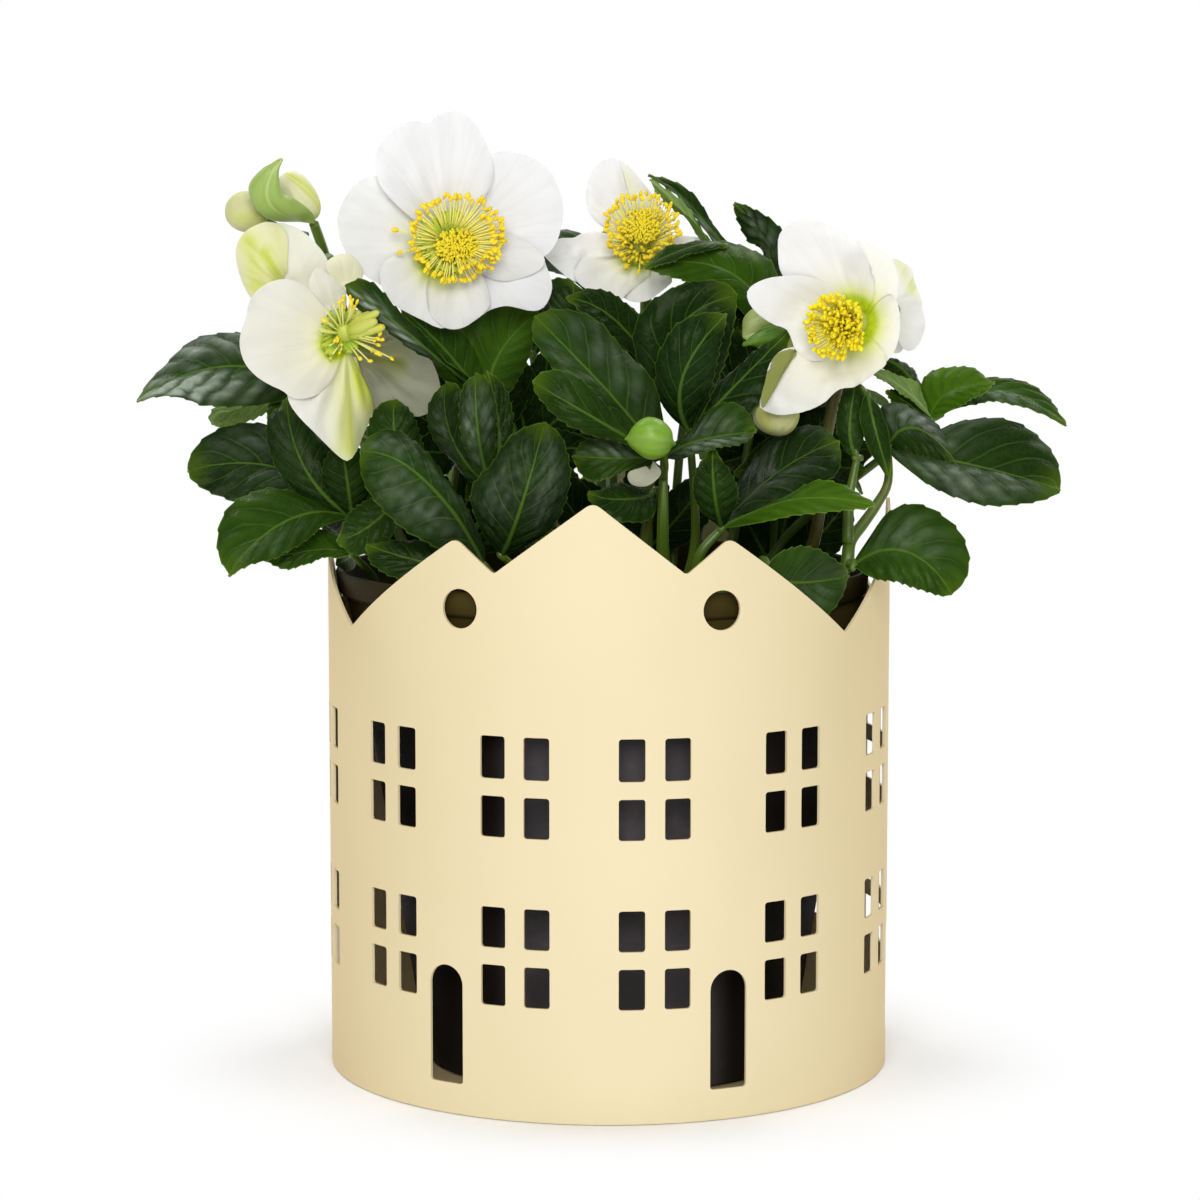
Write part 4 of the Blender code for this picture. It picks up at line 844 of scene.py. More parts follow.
def make_pot(m):
    form = Form()
    top, wall, rim = 178.0, 1.3, 95.0
    outer = [(0.5, 3.0), (52.0, 3.0), (58.0, 1.5), (64.5, 1.4), (66.0, 2.4)]
    for k in range(1, 13):
        t = k / 12
        outer.append((66.0 + 26.0 * t, 2.4 + 163.0 * t))
    outer += [(92.2, 168.6), (93.6, 169.4), (94.3, 170.4), (94.6, 174.0), (95.0, 176.8), (94.6, 177.8), (93.8, 178.0),
              (92.9, 177.6), (92.4, 176.0), (92.0, 171.5), (91.0, 168.5)]
    inner = []
    for k in range(12, 0, -1):
        t = k / 12
        inner.append((66.0 + 26.0 * t - wall, 2.4 + 163.0 * t))
    inner += [(64.0, 3.4), (50.0, 4.6), (0.5, 4.6)]
    # the soft rim is squeezed a little to the left by the sleeve
    lathe(form, outer + inner, 96, wobble=lambda a, z, r: (0.22 * math.cos(12 * a) if 8 < z < 160 and r > 60 else 0.0)
          - 2.2 * math.cos(a) * min(1.0, max(0.0, (z - 163.0) / 7.0)))
    form.finish("nursery_pot_shell", [m["plastic"]], ["nursery_pot"], "pot_plastic", 35)

    rnd = np.random.default_rng(5)
    form = Form()
    sides, rings = 110, 46
    top_waves, fine = Waves(rnd, 14, 1.2, 5.0), Waves(rnd, 30, 8.0, 26.0)
    r_top = 86.6
    points, faces, grain = [], [], []
    for i in range(rings + 1):
        r = r_top * (i / rings)
        for j in range(sides):
            a = 2 * math.pi * j / sides
            x, y = r * math.cos(a) / 90, r * math.sin(a) / 90
            z = SOIL_TOP - 0.6 + 1.5 * top_waves(x, y) + 0.9 * fine(x, y) - 1.0 * (r / r_top) ** 6
            points.append((r * math.cos(a), r * math.sin(a), z if i else SOIL_TOP))
            grain.append((r, 0, 0))
    side = [(84.0, 140.0), (70.0, 60.0), (63.4, 6.0)]
    for r, z in side:
        for j in range(sides):
            a = 2 * math.pi * j / sides
            points.append((r * math.cos(a), r * math.sin(a), z))
            grain.append((r, 0, 0))
    total = rings + 1 + len(side)
    for i in range(1, total - 1):
        for j in range(sides):
            k = (j + 1) % sides
            faces.append((i * sides + j, (i + 1) * sides + j, (i + 1) * sides + k, i * sides + k))
    points += [(0, 0, SOIL_TOP), (0, 0, 6.0)]
    grain += [(0, 0, 0), (0, 0, 0)]
    a, b = total * sides, total * sides + 1
    for j in range(sides):
        k = (j + 1) % sides
        faces.append((a, sides + j, sides + k))
        faces.append((b, (total - 1) * sides + k, (total - 1) * sides + j))
    form.add(points[sides:], [tuple(q - sides for q in f) for f in faces], 0, grain[sides:])
    # clods, bark chips and perlite lying in the surface
    for k in range(520):
        r, a = 85.0 * math.sqrt(rnd.uniform(0, 1)), rnd.uniform(0, 2 * math.pi)
        x, y = r * math.cos(a), r * math.sin(a)
        z = SOIL_TOP - 0.6 + 1.5 * top_waves(x / 90, y / 90) + 0.9 * fine(x / 90, y / 90)
        white = k % 9 == 0
        size = rnd.uniform(0.8, 1.5) if white else rnd.uniform(0.8, 2.6)
        axis = unit(rnd.normal(size=3) * [1, 1, 0.35])
        stretch = 1.0 if white else rnd.uniform(1.0, 2.4)
        prof = [(-size * stretch * 0.8, size * 0.45), (-size * stretch * 0.3, size * 0.9), (size * stretch * 0.35, size * 0.85), (size * stretch * 0.8, size * 0.4)]
        turned(form, np.array([x, y, z + size * 0.25]), axis, prof, 6, 1 if white else 0)
    form.finish("soil_surface", [m["soil"], m["perlite"]], ["potting_soil"], "soil", 80)

    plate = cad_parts["base_plate"]
    plate.data.materials.clear()
    plate.data.materials.append(m["coat"])


# ------------------------------------------------------------------ leaves
def leaflet(form, b, m, t, l, r, rnd, face=(0, -1, 0.35), quilt=0.80, even=0.0, youth=0.0, tone=0.5, under=False, tip=0.8,
            base=0.95, teeth=12, tooth=0.85, rows=None, cols=19, bow=0.10, wave=0.7, thick=0.55, crease=1.35,
            widest=0.58, curl=0.0, slot=0, edges=None, shine=()):
    """One leaflet from its base through its widest place to its tip, with toothed margins and raised quilting.
    Each place of shine is a patch of painted sheen, a pale highlight painted into the top face: (along, across -1..1,
    its two sizes, amount)."""
    rows = rows or (76 if edges is not None else 50)
    b, m, t, l, r = (np.asarray(p, float) for p in (b, m, t, l, r))
    km = widest

    def spine(s):
        s = np.asarray(s, float)[..., None]
        return b * (s - km) * (s - 1) / km + m * s * (s - 1) / (km * (km - 1)) + t * s * (s - km) / (1 - km)

    def heading(s):
        d = spine(s + 0.01) - spine(s - 0.01)
        return d / np.linalg.norm(d, axis=-1, keepdims=True)

    k = np.linspace(0, 1, rows)
    s = 0.5 * k + 0.5 * (1 - (1 - k) ** 1.35)
    s[0], s[-1] = 0.0, 1.0
    x = np.linspace(-1, 1, cols)
    x = np.sign(x) * (1 - (1 - np.abs(x)) ** 1.25)
    norm = km ** base * (1 - km) ** tip
    width = (s ** base * (1 - s) ** tip) / norm
    # the tip draws out to a short point
    width = width * (1 - 0.18 * np.exp(-((s - 0.93) / 0.05) ** 2))
    centre = spine(s)
    way, at = heading(s), heading(np.array([km]))[0]
    cross_axis = np.cross(np.broadcast_to(at, way.shape), way)
    dot = way @ at

    def carried(v):
        first = np.cross(cross_axis, v)
        return v + first + np.cross(cross_axis, first) / (1 + dot)[:, None]

    left, right = carried(l - m) * width[:, None], carried(r - m) * width[:, None]
    half = (right - left)[:, None, :] / 2
    mean = (right + left)[:, None, :] / 2
    grid = centre[:, None, :] + x[None, :, None] * half + (np.abs(x) ** crease)[None, :, None] * mean
    size = np.linalg.norm(half[:, 0], axis=1)
    thin = np.maximum(size, 0.25)
    grid = grid + x[None, :, None] * half / np.maximum(size, 1e-6)[:, None, None] * (thin - size)[:, None, None]
    if edges is not None:
        sides = []
        swell = np.sin(math.pi * s ** 0.9) ** 0.8
        for line, deep in zip(edges, (l[1] - m[1], r[1] - m[1])):
            route = smooth_route([np.array([*p, 0.0]) for p in line], 500)
            run = np.concatenate([[0], np.cumsum(np.linalg.norm(np.diff(route, axis=0), axis=1))])
            u, v = (np.interp(s * run[-1], run, route[:, k]) for k in (0, 1))
            sides.append(sketch_grid(u, v, centre[:, 1] + deep * swell))
        left, right = sides[0] - centre, sides[1] - centre
        size = np.linalg.norm(right - left, axis=1) / 2
        thin = np.maximum(size, 0.25)
        spread = unit(right[rows // 2] - left[rows // 2])
        left = left - spread * (thin - size)[:, None]
        right = right + spread * (thin - size)[:, None]
        ax = np.abs(x)[None, :, None]
        grid = centre[:, None, :] + np.where(x[None, :, None] < 0, left[:, None, :], right[:, None, :]) * ax
    normal = grid_normals(grid)
    flip = normal[rows // 2, cols // 2] @ np.asarray(face, float) < 0
    if under:
        flip = not flip
    as_drawn = x[::-1] if flip else x
    if flip:
        grid, x = grid[:, ::-1], -x[::-1]
        normal = grid_normals(grid)
    S, X = np.meshgrid(s, x, indexing="ij")
    AX = np.abs(X)
    W = np.broadcast_to(thin[:, None], S.shape)
    loose, strong = Waves(rnd, 4, 1.0, 2.5), Waves(rnd, 4, 1.5, 4.0)
    phase = 7.0 * S - 1.75 * AX ** 0.9 + 0.45 * (X > 0) + 0.16 * loose(S * 1.5, X)
    lift = (np.sin(math.pi * phase) ** 2 + 0.01) ** 0.72 - 0.45
    hold = step(AX, 0.03, 0.30) * (1 - 0.85 * step(AX, 0.66, 1.0)) * step(S, 0.04, 0.2) * (1 - step(S, 0.86, 1.0))
    crinkle = strong(S * 4.6, X * 2.9)                     # blisters that don't follow the side veins
    bumps = lift * (1 - 0.55 * even) + 0.34 * even * crinkle
    height = quilt * bumps * hold * np.clip(0.85 + 0.55 * strong(S * 1.4, X), 0.25, 1.5)
    height += bow * W * np.sin(math.pi * np.clip(AX, 0, 1)) * step(S, 0.0, 0.25) * (1 - 0.6 * step(S, 0.8, 1.0))
    slow = Waves(rnd, 5, 0.5, 1.5)
    height += wave * slow(S * 1.1, X * 0.55) * step(S, 0.0, 0.3)
    height += 0.5 * wave * np.sin(2 * math.pi * (3.1 * S + rnd.uniform())) * AX ** 3 * np.sign(X + 0.3)
    height -= curl * AX ** 3 * W * 0.25
    grid = grid + normal * height[..., None]
    # teeth point to the tip
    saw = (teeth * S + 0.3 * np.sign(X)) % 1.0
    out = tooth * (saw ** 1.6 - 0.35) * step(S, 0.16, 0.36) * (1 - step(S, 0.955, 0.995)) * AX ** 9
    side = (right - left) * (-1 if flip else 1)
    side = side / np.maximum(np.linalg.norm(side, axis=1, keepdims=True), 1e-9)
    grid = grid + (side[:, None, :] * np.sign(X)[..., None]) * out[..., None]
    thickness = thick * (1 - 0.55 * AX ** 4) + 0.9 * np.exp(-(AX * W / 0.7) ** 2) * (1 - 0.75 * S)
    grain = np.stack([S, X, W], -1)
    seedtone = float(np.clip(tone + rnd.uniform(-0.15, 0.15), 0, 1))
    grid_solid(form, grid, thickness, grain, (0.0, seedtone, youth), (1.0, seedtone, youth), slot)
    # painted sheen: pale highlight patches painted into the top face, strongest on the crests of the quilting
    if shine:
        sheen = np.zeros_like(S)
        for s0, x0, ds, dx, amount in shine:
            sheen = np.maximum(sheen, amount * np.exp(-((S - s0) / ds) ** 2 - ((as_drawn[None, :] - x0) / dx) ** 2))
        crest = np.clip(0.16 + 0.95 * np.clip(lift + 0.45, 0, 1) ** 1.5, 0, 1)
        crest = crest + even * (np.clip(0.42 + 0.60 * crinkle, 0.05, 1.0) - crest)
        sheen = sheen * crest * np.clip(0.85 + 0.5 * strong(S * 2.2, X * 1.5), 0.35, 1.2)
        sheen = sheen * step(AX, 0.02, 0.12) * (1 - 0.7 * step(AX, 0.88, 1.0))
        painted = form.vectors["kind"][-1]
        painted[:sheen.size, 0] = -np.clip(sheen, 0, 1).reshape(-1)


def drawn(*rows):
    """Leaflets from the sketch: base, middle of the midrib, tip, and how deep each edge lies. The edges run from
    base to tip; where they aren't given, the two last points say how wide the blade is."""
    out = []
    for row in rows:
        extra = dict(row[5]) if len(row) > 5 else {}
        if "left" in extra:
            extra["edges"] = tuple([row[0][:2]] + list(extra.pop(side)) + [row[2][:2]] for side in ("left", "right"))
        out.append(tuple(sketch(*p) for p in row[:5]) + (extra,))
    return out


def fan(hub, heading, count, spread, length, width, lift=10.0, droop=12.0, tilt=0.0):
    hub = np.asarray(hub, float)
    out = []
    for k in range(count):
        f = (k / (count - 1) - 0.5) * 2 if count > 1 else 0.0
        a = math.radians(heading + f * spread)
        size = length * (1.0 - 0.22 * abs(f)) * (1.0 + 0.06 * math.sin(7.0 * k + heading))
        d = np.array([math.sin(a), -math.cos(a), 0.0])
        side = np.array([math.cos(a), math.sin(a), 0.0])
        up = np.array([0.0, 0.0, 1.0])
        slope = tilt * (1 - 0.5 * abs(f))
        m = hub + d * size * 0.56 + up * (lift + slope * 0.56)
        t = hub + d * size + up * (slope - droop + 3.0 * math.sin(3.0 * k))
        half = width * 0.5 * (1.0 - 0.15 * abs(f))
        roll = 6.0 * f
        out.append((hub, m, t, m - side * half + up * (3.0 + roll), m + side * half + up * (3.0 - roll),
                    {"face": (0.25 * d[0], 0.25 * d[1], 1.0)}))
    return out


def foot_of(hub, share=0.45, reach=62.0):
    x, y = hub[0] * share, hub[1] * share
    size = math.hypot(x, y)
    if size > reach:
        x, y = x * reach / size, y * reach / size
    return np.array([x, y, SOIL_TOP + GAP])


def leaf(m, node, hub, leaflets, route=None, stalk=1.7, share=0.45, more=(), **looks):
    rnd = np.random.default_rng(sum(ord(c) * (k + 1) for k, c in enumerate(node)))
    hub = np.asarray(hub, float)
    if route is None:
        foot = foot_of(hub, share)
        route = [foot, foot + (hub - foot) * [0.35, 0.35, 0.6], hub]
    else:
        route = list(route) + [hub]
    form = Form()
    line = rooted(route, 30)
    taper = np.linspace(stalk * 1.12, 1.35, len(line))
    taper[0] *= 1.25
    tube(form, line, taper, 14, 1, flat=0.86)

    def blades(where, end):
        # a little sheath where the leaflets part
        swell = 1.0 if end is hub else 0.86
        turned(form, end, unit(end - line[-2]), [(-2.2, 1.2 * swell), (-0.8, 1.5 * swell), (0.8, 1.45 * swell), (1.8, 0.9)], 12, 1)
        for number, (b, mid, t, l, r, extra) in enumerate(where):
            given = {**looks, **extra}
            leaflet(form, b, mid, t, l, r, rnd, **given)
            # the short stalk that carries on as the midrib
            b, mid = np.asarray(b, float), np.asarray(mid, float)
            toward = unit(mid - b)
            tube(form, [b - toward * 0.6, b + toward * 2.2, b + toward * 5.0], [1.15, 0.95, 0.5], 8, 1)

    blades(leaflets, hub)
    for way, end, extra in more:
        path = smooth_route(list(way) + [end], 14)
        tube(form, path, np.linspace(stalk * 0.85, 1.25 if extra else stalk * 0.68, len(path)), 12, 1, flat=0.9)
        if extra:
            blades(extra, np.asarray(end, float))
    return form.finish(node + "_blades", [m["leaf"], m["petiole"]], [node], "leaf", 70)


def make_leaves(m):
    def add(node, hub, leaflets, **given):
        leaf(m, node, hub, leaflets, **given)

    G = SOIL_TOP + GAP
    # left side
    add("leaf_left_high", P(306, 388, 8), drawn(
        ((306, 388, 8), (208, 369, -4), (137, 402, -16), (203, 334, 14), (206, 405, -14),
         {"wave": 0.4, "quilt": 1.9, "thick": 0.35, "cols": 25, "rows": 96, "tone": 0.8, "shine": [(0.78, 0.50, 0.24, 0.42, 2.6), (0.45, 0.60, 0.16, 0.30, 0.8), (0.58, -0.55, 0.34, 0.24, 0.75), (0.86, -0.3, 0.1, 0.4, 0.6)], "left": [(296, 356), (268, 338), (241, 333), (225, 332.5), (207, 335), (189, 343), (171, 359), (151, 380)],
          "right": [(285, 400), (260, 405), (240, 407), (218, 407), (201, 405), (189, 400), (174, 397), (154, 397)]}),
        ((306, 388, 8), (250, 404, 14), (211, 421, 8), (240, 393, 20), (247, 422, 16), {"under": True, "tip": 0.6}),
        ((306, 388, 8), (285, 404, 2), (268, 425, -4), (274, 396, 4), (292, 414, 0), {"tone": 0.9, "youth": 0.2}),
    ))
    add("leaf_left_fan", P(352, 517, -34), drawn(
        ((352, 517, -34), (276, 528, -54), (230, 575, -66), (258, 492, -44), (292, 555, -60),
         {"youth": 0.12, "tone": 0.68, "quilt": 0.9, "shine": [(0.6, 0.5, 0.25, 0.3, 0.10)], "left": [(330, 511), (315, 501), (297, 493), (283, 490), (265, 488.5), (245, 495), (232, 504), (223, 517), (218, 533), (217, 548), (221, 562)],
          "right": [(337, 521), (322, 527), (308, 538), (293, 549), (275, 558), (257, 563), (240, 570)]}),
        ((352, 517, -34), (262, 466, -24), (188, 471, -30), (254, 422, -10), (241, 503, -36),
         {"tone": 0.15, "quilt": 1.2, "shine": [(0.62, -0.45, 0.24, 0.35, 0.17), (0.45, 0.45, 0.25, 0.3, 0.09)], "left": [(334, 472), (302, 440), (276, 426), (254, 422.5), (236, 424), (218, 429), (204, 438), (193, 452), (188.5, 463)],
          "right": [(325, 512), (290, 500), (262, 496), (238, 502), (225, 499), (210, 494), (199, 487), (190, 479)]}),
        ((352, 517, -34), (300, 458, -36), (287, 398, -26), (268, 446, -30), (331, 450, -32), {"tone": 0.3, "shine": [(0.75, -0.2, 0.2, 0.5, 0.12)]}),
        ((352, 517, -34), (346, 474, -44), (340, 436, -42), (322, 478, -42), (373, 470, -40)),
        ((352, 517, -34), (376, 488, -32), (394, 462, -26), (362, 474, -30), (390, 500, -34)),
    ), route=[(-30, -8, G), (-62, -16, 176)])
    add("leaf_left_low", P(352, 554, -44), drawn(
        ((352, 554, -44), (305, 552, -46), (263, 561, -49), (300, 539, -38), (300, 569, -52),
         {"youth": 0.18, "tone": 0.6, "left": [(347, 545), (337, 536), (322, 530), (305, 538), (290, 548), (275, 556)], "right": [(340, 557), (320, 558), (305, 563), (290, 568), (275, 566)]}),
        ((352, 554, -44), (338, 534, -24), (320, 523, -14), (347, 519, -20), (332, 549, -26), {"tone": 0.0, "rows": 30, "cols": 11}),
        ((358, 553, -34), (347, 560, -22), (336, 565, -14), (343, 548, -16), (351, 570.5, -28),
         {"tone": 0.0, "rows": 30, "cols": 11, "quilt": 0.1, "wave": 0.1, "bow": 0.0, "tooth": 0.3, "face": (0, -1, 0.8)}),
    ), route=[(-60, -16, G), P(378, 600, -16), P(373, 577, -20)], stalk=2.2)
    add("leaf_mid_left", P(412, 480, -50), drawn(
        ((412, 480, -50), (395, 436, -56), (395, 400, -50), (366, 430, -52), (425, 440, -50),
         {"tone": 0.5, "tip": 0.5, "left": [(385, 466), (370, 446), (367, 432), (372, 414), (383, 403.5)], "right": [(424, 462), (421, 440), (414, 420), (406, 406.5)]}),
        ((412, 480, -50), (368, 528, -48), (337, 541, -50), (354, 509, -46), (378, 549, -52)),
    ), route=[(-36, -26, G), (-48, -36, 180)])
    add("leaf_front_left", P(484, 566, -58), drawn(
        ((484, 566, -58), (414, 471, -74), (361, 452, -68), (440, 444, -66), (386, 522, -78),
         {"tone": 0.55, "quilt": 1.0, "even": 0.65, "shine": [(0.80, -0.35, 0.16, 0.4, 0.30), (0.48, 0.45, 0.28, 0.35, 0.30), (0.45, -0.5, 0.2, 0.25, 0.2)], "left": [(484, 546), (472, 520), (460, 497), (446, 476), (433, 459), (420, 445), (406, 433.5), (391, 429), (380, 431), (370, 437), (363, 445)],
          "right": [(455, 557), (428, 543), (410, 534), (395, 522), (381, 508), (370, 494), (363, 479), (360, 465)]}),
        ((484, 566, -58), (415, 560, -62), (367, 545, -58), (425, 540, -58), (393, 577, -64)),
    ), route=[(-26, -40, G), (-32, -50, 172)])
    add("leaf_front_mid", P(492, 488, -48), drawn(
        ((492, 488, -48), (477, 426, -62), (476, 374, -56), (459, 420, -60), (498, 412, -58),
         {"tone": 0.6, "quilt": 0.6, "even": 0.8, "shine": [(0.55, -0.40, 0.30, 0.35, 0.42), (0.60, 0.45, 0.25, 0.35, 0.34)], "left": [(481, 478), (472, 462), (463, 440), (459, 416), (461, 394), (467, 380)], "right": [(492, 472), (494, 450), (496, 425), (496, 404), (492, 388), (485, 377)]}),
        ((492, 488, -48), (499, 425, -46), (487, 371, -40), (482, 400, -44), (515, 415, -44),
         {"tone": 0.3, "left": [(488, 470), (485, 440), (482, 400), (481, 382)], "right": [(501, 474), (510, 452), (513, 425), (509, 398), (499, 380)]}),
        ((492, 488, -48), (449, 426, -48), (447, 382, -46), (462, 384, -42), (434, 462, -54),
         {"tone": 0.35, "quilt": 1.0, "even": 0.6, "shine": [(0.6, -0.3, 0.2, 0.4, 0.2)], "left": [(470, 480), (449, 457), (436, 442), (428, 426), (428, 408), (437, 390)], "right": [(484, 462), (474, 440), (467, 420), (464, 400), (458, 385)]}),
    ), route=[(-20, -26, G), (-26, -36, 180)])
    add("leaf_front_quilted", P(502, 556, -64), drawn(
        ((502, 556, -64), (525, 494, -76), (545, 422, -66), (468, 497, -72), (574, 482, -72),
         {"quilt": 1.6, "even": 0.85, "thick": 0.4, "rows": 96, "cols": 25, "tone": 0.15, "shine": [(0.55, -0.42, 0.26, 0.33, 0.22), (0.62, 0.45, 0.26, 0.33, 0.26)], "left": [(490, 545), (478, 523), (471, 506), (471, 490), (479, 476), (491, 464), (499, 450), (510, 437), (526, 427)],
          "right": [(534, 541), (552, 527), (563, 509), (569, 491), (570.5, 472), (567, 451), (560, 434)]}),
    ), route=[(-14, -46, G), (-24, -56, 176)])
    add("leaf_upper_left", P(488, 402, -26), drawn(
        ((488, 402, -26), (403, 327, -64), (346, 285, -62), (413, 318, -64), (392, 336, -60),
         {"tone": 0.4, "quilt": 0.3, "shine": [(0.80, 0.15, 0.14, 0.35, 1.3), (0.60, 0.40, 0.14, 0.3, 1.0)],
          "left": [(474, 382), (460, 371), (447, 361), (432, 343), (420, 330), (406, 318), (394, 305), (382, 291), (370, 281.5), (358, 279)],
          "right": [(474, 394), (455, 377), (440, 365), (425, 357), (410, 348), (393, 336), (376, 323), (360, 310), (349, 297)]}),
        ((488, 402, -26), (440, 346, -32), (402, 309, -36), (462, 334, -26), (424, 362, -34), {"tone": 0.7, "youth": 0.10}),
        ((488, 402, -26), (503, 348, -20), (538, 312, -12), (449, 350, -22), (538, 336, -16),
         {"youth": 0.16, "tone": 1.0, "quilt": 0.5, "left": [(464, 388), (450, 364), (449, 345), (459, 328), (474, 315), (489, 308), (504, 304.5), (520, 305)],
          "right": [(510, 392), (521, 374), (528, 360), (533, 344), (537, 328)]}),
    ), route=[(-16, -12, G), (-24, -16, 200)])

    # centre
    add("stem_centre_leaves", P(664, 458, -54), drawn(
        ((664, 458, -54), (588, 373, -62), (535, 316, -54), (634, 344, -50), (548, 404, -66),
         {"tone": 0.62, "quilt": 0.6, "shine": [(0.55, -0.5, 0.3, 0.3, 0.16), (0.7, 0.5, 0.2, 0.3, 0.14)], "left": [(665, 436), (662, 415), (657, 393), (648, 375), (634, 360), (617, 341), (601, 323), (583, 312.5), (565, 308.5), (549, 309.5)],
          "right": [(640, 443), (615, 422), (594, 402), (572, 384), (553, 367), (541, 352), (534, 341), (532, 328)]}),
        ((664, 458, -54), (590, 417, -74), (533, 382, -70), (604, 381, -70), (566, 433, -76),
         {"tone": 0.55, "youth": 0.05, "quilt": 0.5, "left": [(646, 442), (624, 425), (608, 408), (594, 391), (580, 379), (565, 371), (550, 370), (539, 374)],
          "right": [(645, 454), (619, 442), (598, 437), (580, 431), (565, 423), (553, 413), (543, 402), (535, 392)]}),
        ((664, 458, -54), (714, 438, -64), (756, 431, -62), (718, 401, -56), (723, 450, -68),
         {"tone": 0.7, "youth": 0.05, "shine": [(0.55, 0.5, 0.35, 0.4, 0.62), (0.5, -0.4, 0.2, 0.3, 0.3)], "left": [(674, 444), (692, 427), (709, 408), (724, 402), (739, 405), (750, 416)], "right": [(680, 459), (700, 452), (722, 448.5), (739, 445.5), (750, 440)]}),
        ((664, 458, -54), (618, 459, -64), (573, 458, -60), (611, 439, -56), (612, 478, -68),
         {"tone": 0.7, "youth": 0.10, "shine": [(0.6, -0.3, 0.25, 0.35, 0.5)], "left": [(650, 451), (632, 447), (612, 440.5), (594, 439), (580, 445)], "right": [(645, 467), (628, 471), (612, 477), (594, 481), (580, 473)]}),
    ), route=[(20, -40, G), P(663, 560, -50), P(663, 505, -56)], stalk=2.6)
    add("leaf_top_mid", P(656, 374, -16), drawn(
        ((656, 374, -16), (584, 316, -20), (573, 282, -18), (549, 305, -22), (604, 300, -16)),
        ((656, 374, -16), (607, 314, -30), (566, 298, -34), (620, 299, -26), (600, 330, -34)),
    ), route=[(8, -6, G), (14, -8, 200)])
    add("leaf_upper_mid", P(690, 434, -38), drawn(
        ((690, 434, -38), (686, 368, -52), (726, 314, -46), (656, 368, -50), (724, 364, -48),
         {"tone": 0.0, "quilt": 0.5, "left": [(672, 417), (658, 396), (655, 375), (657, 357), (666, 339), (677, 324), (695, 315), (713, 312)],
          "right": [(700, 412), (712, 388), (717, 365), (721, 343), (725, 328)]}),
        ((690, 434, -38), (678, 330, -38), (737, 295, -34), (640, 316, -38), (706, 346, -40),
         {"tone": 0.0, "quilt": 0.4, "left": [(662, 404), (642, 372), (633, 342), (637, 321), (648, 305), (666, 291.5), (688, 283), (710, 280), (727, 284)],
          "right": [(704, 412), (716, 385), (726, 360), (732, 335), (736, 312)]}),
        ((690, 434, -38), (738, 384, -36), (791, 329, -30), (724, 377, -32), (758, 406, -40), {"tone": 0.2}),
    ), route=[(24, -22, G), (30, -30, 190)])
    add("leaf_top_right", P(768, 330, 0), drawn(
        ((768, 330, 0), (694, 208, 6), (648, 176, -2), (712, 205, 10), (692, 226, 2),
         {"tone": 0.8, "quilt": 0.5, "shine": [(0.6, 0.5, 0.35, 0.4, 0.6)], "left": [(752, 276), (734, 250), (718, 232), (706, 212), (694, 195), (679, 184), (663, 178)], "right": [(748, 286), (728, 262), (709, 238), (694, 216), (680, 199), (664, 188)]}),
        ((758, 318, -4), (690, 220, -3), (651, 180, -8), (712, 205, 4), (692, 226, 2),
         {"under": True, "quilt": 0.2, "left": [(736, 272), (722, 254), (708, 236), (693, 214), (678, 198), (664, 188)], "right": [(730, 276), (716, 258), (702, 240), (688, 221), (674, 212), (663, 201), (654, 189)]}),
        ((768, 330, 0), (766, 240, 18), (734, 204, 10), (783, 220, 22), (740, 240, 12),
         {"quilt": 1.4, "tone": 0.5, "shine": [(0.7, 0.1, 0.22, 0.5, 0.5)], "left": [(762, 300), (766, 272), (760, 248), (748, 241), (740, 226), (735, 214)], "right": [(784, 296), (788, 262), (784, 238), (776, 226), (766, 217.5), (752, 209)]}),
        ((768, 330, 0), (716, 268, -16), (646, 267, -24), (742, 240, -4), (700, 292, -22),
         {"youth": 0.25, "tone": 1.0, "quilt": 0.5, "left": [(780, 302), (778, 276), (771, 259), (754, 249), (736, 243.5), (719, 241), (702, 241.5), (682, 244.5), (663, 250)],
          "right": [(750, 320), (735, 304), (715, 291), (695, 284), (675, 278), (657, 272)]}),
        ((726, 246, -10), (682, 250, -24), (645, 268, -26), (680, 242, -20), (683, 258, -28),
         {"tone": 0.55, "quilt": 0.15, "left": [(716, 241), (702, 240.5), (682, 243.5), (663, 249)], "right": [(714, 250), (700, 252), (684, 256), (664, 264)]}),
        ((768, 330, 0), (724, 300, -2), (672, 290, -8), (742, 276, 4), (708, 330, -6), {"tone": 0.1}),
    ), route=[(40, 0, G), (46, 0, 200)])
    add("leaf_low_mid", P(655, 492, -48), drawn(
        ((655, 492, -48), (620, 501, -62), (588, 493, -62), (614, 484, -56), (627, 524, -68)),
    ), route=[(6, -34, G), (10, -42, 180)])

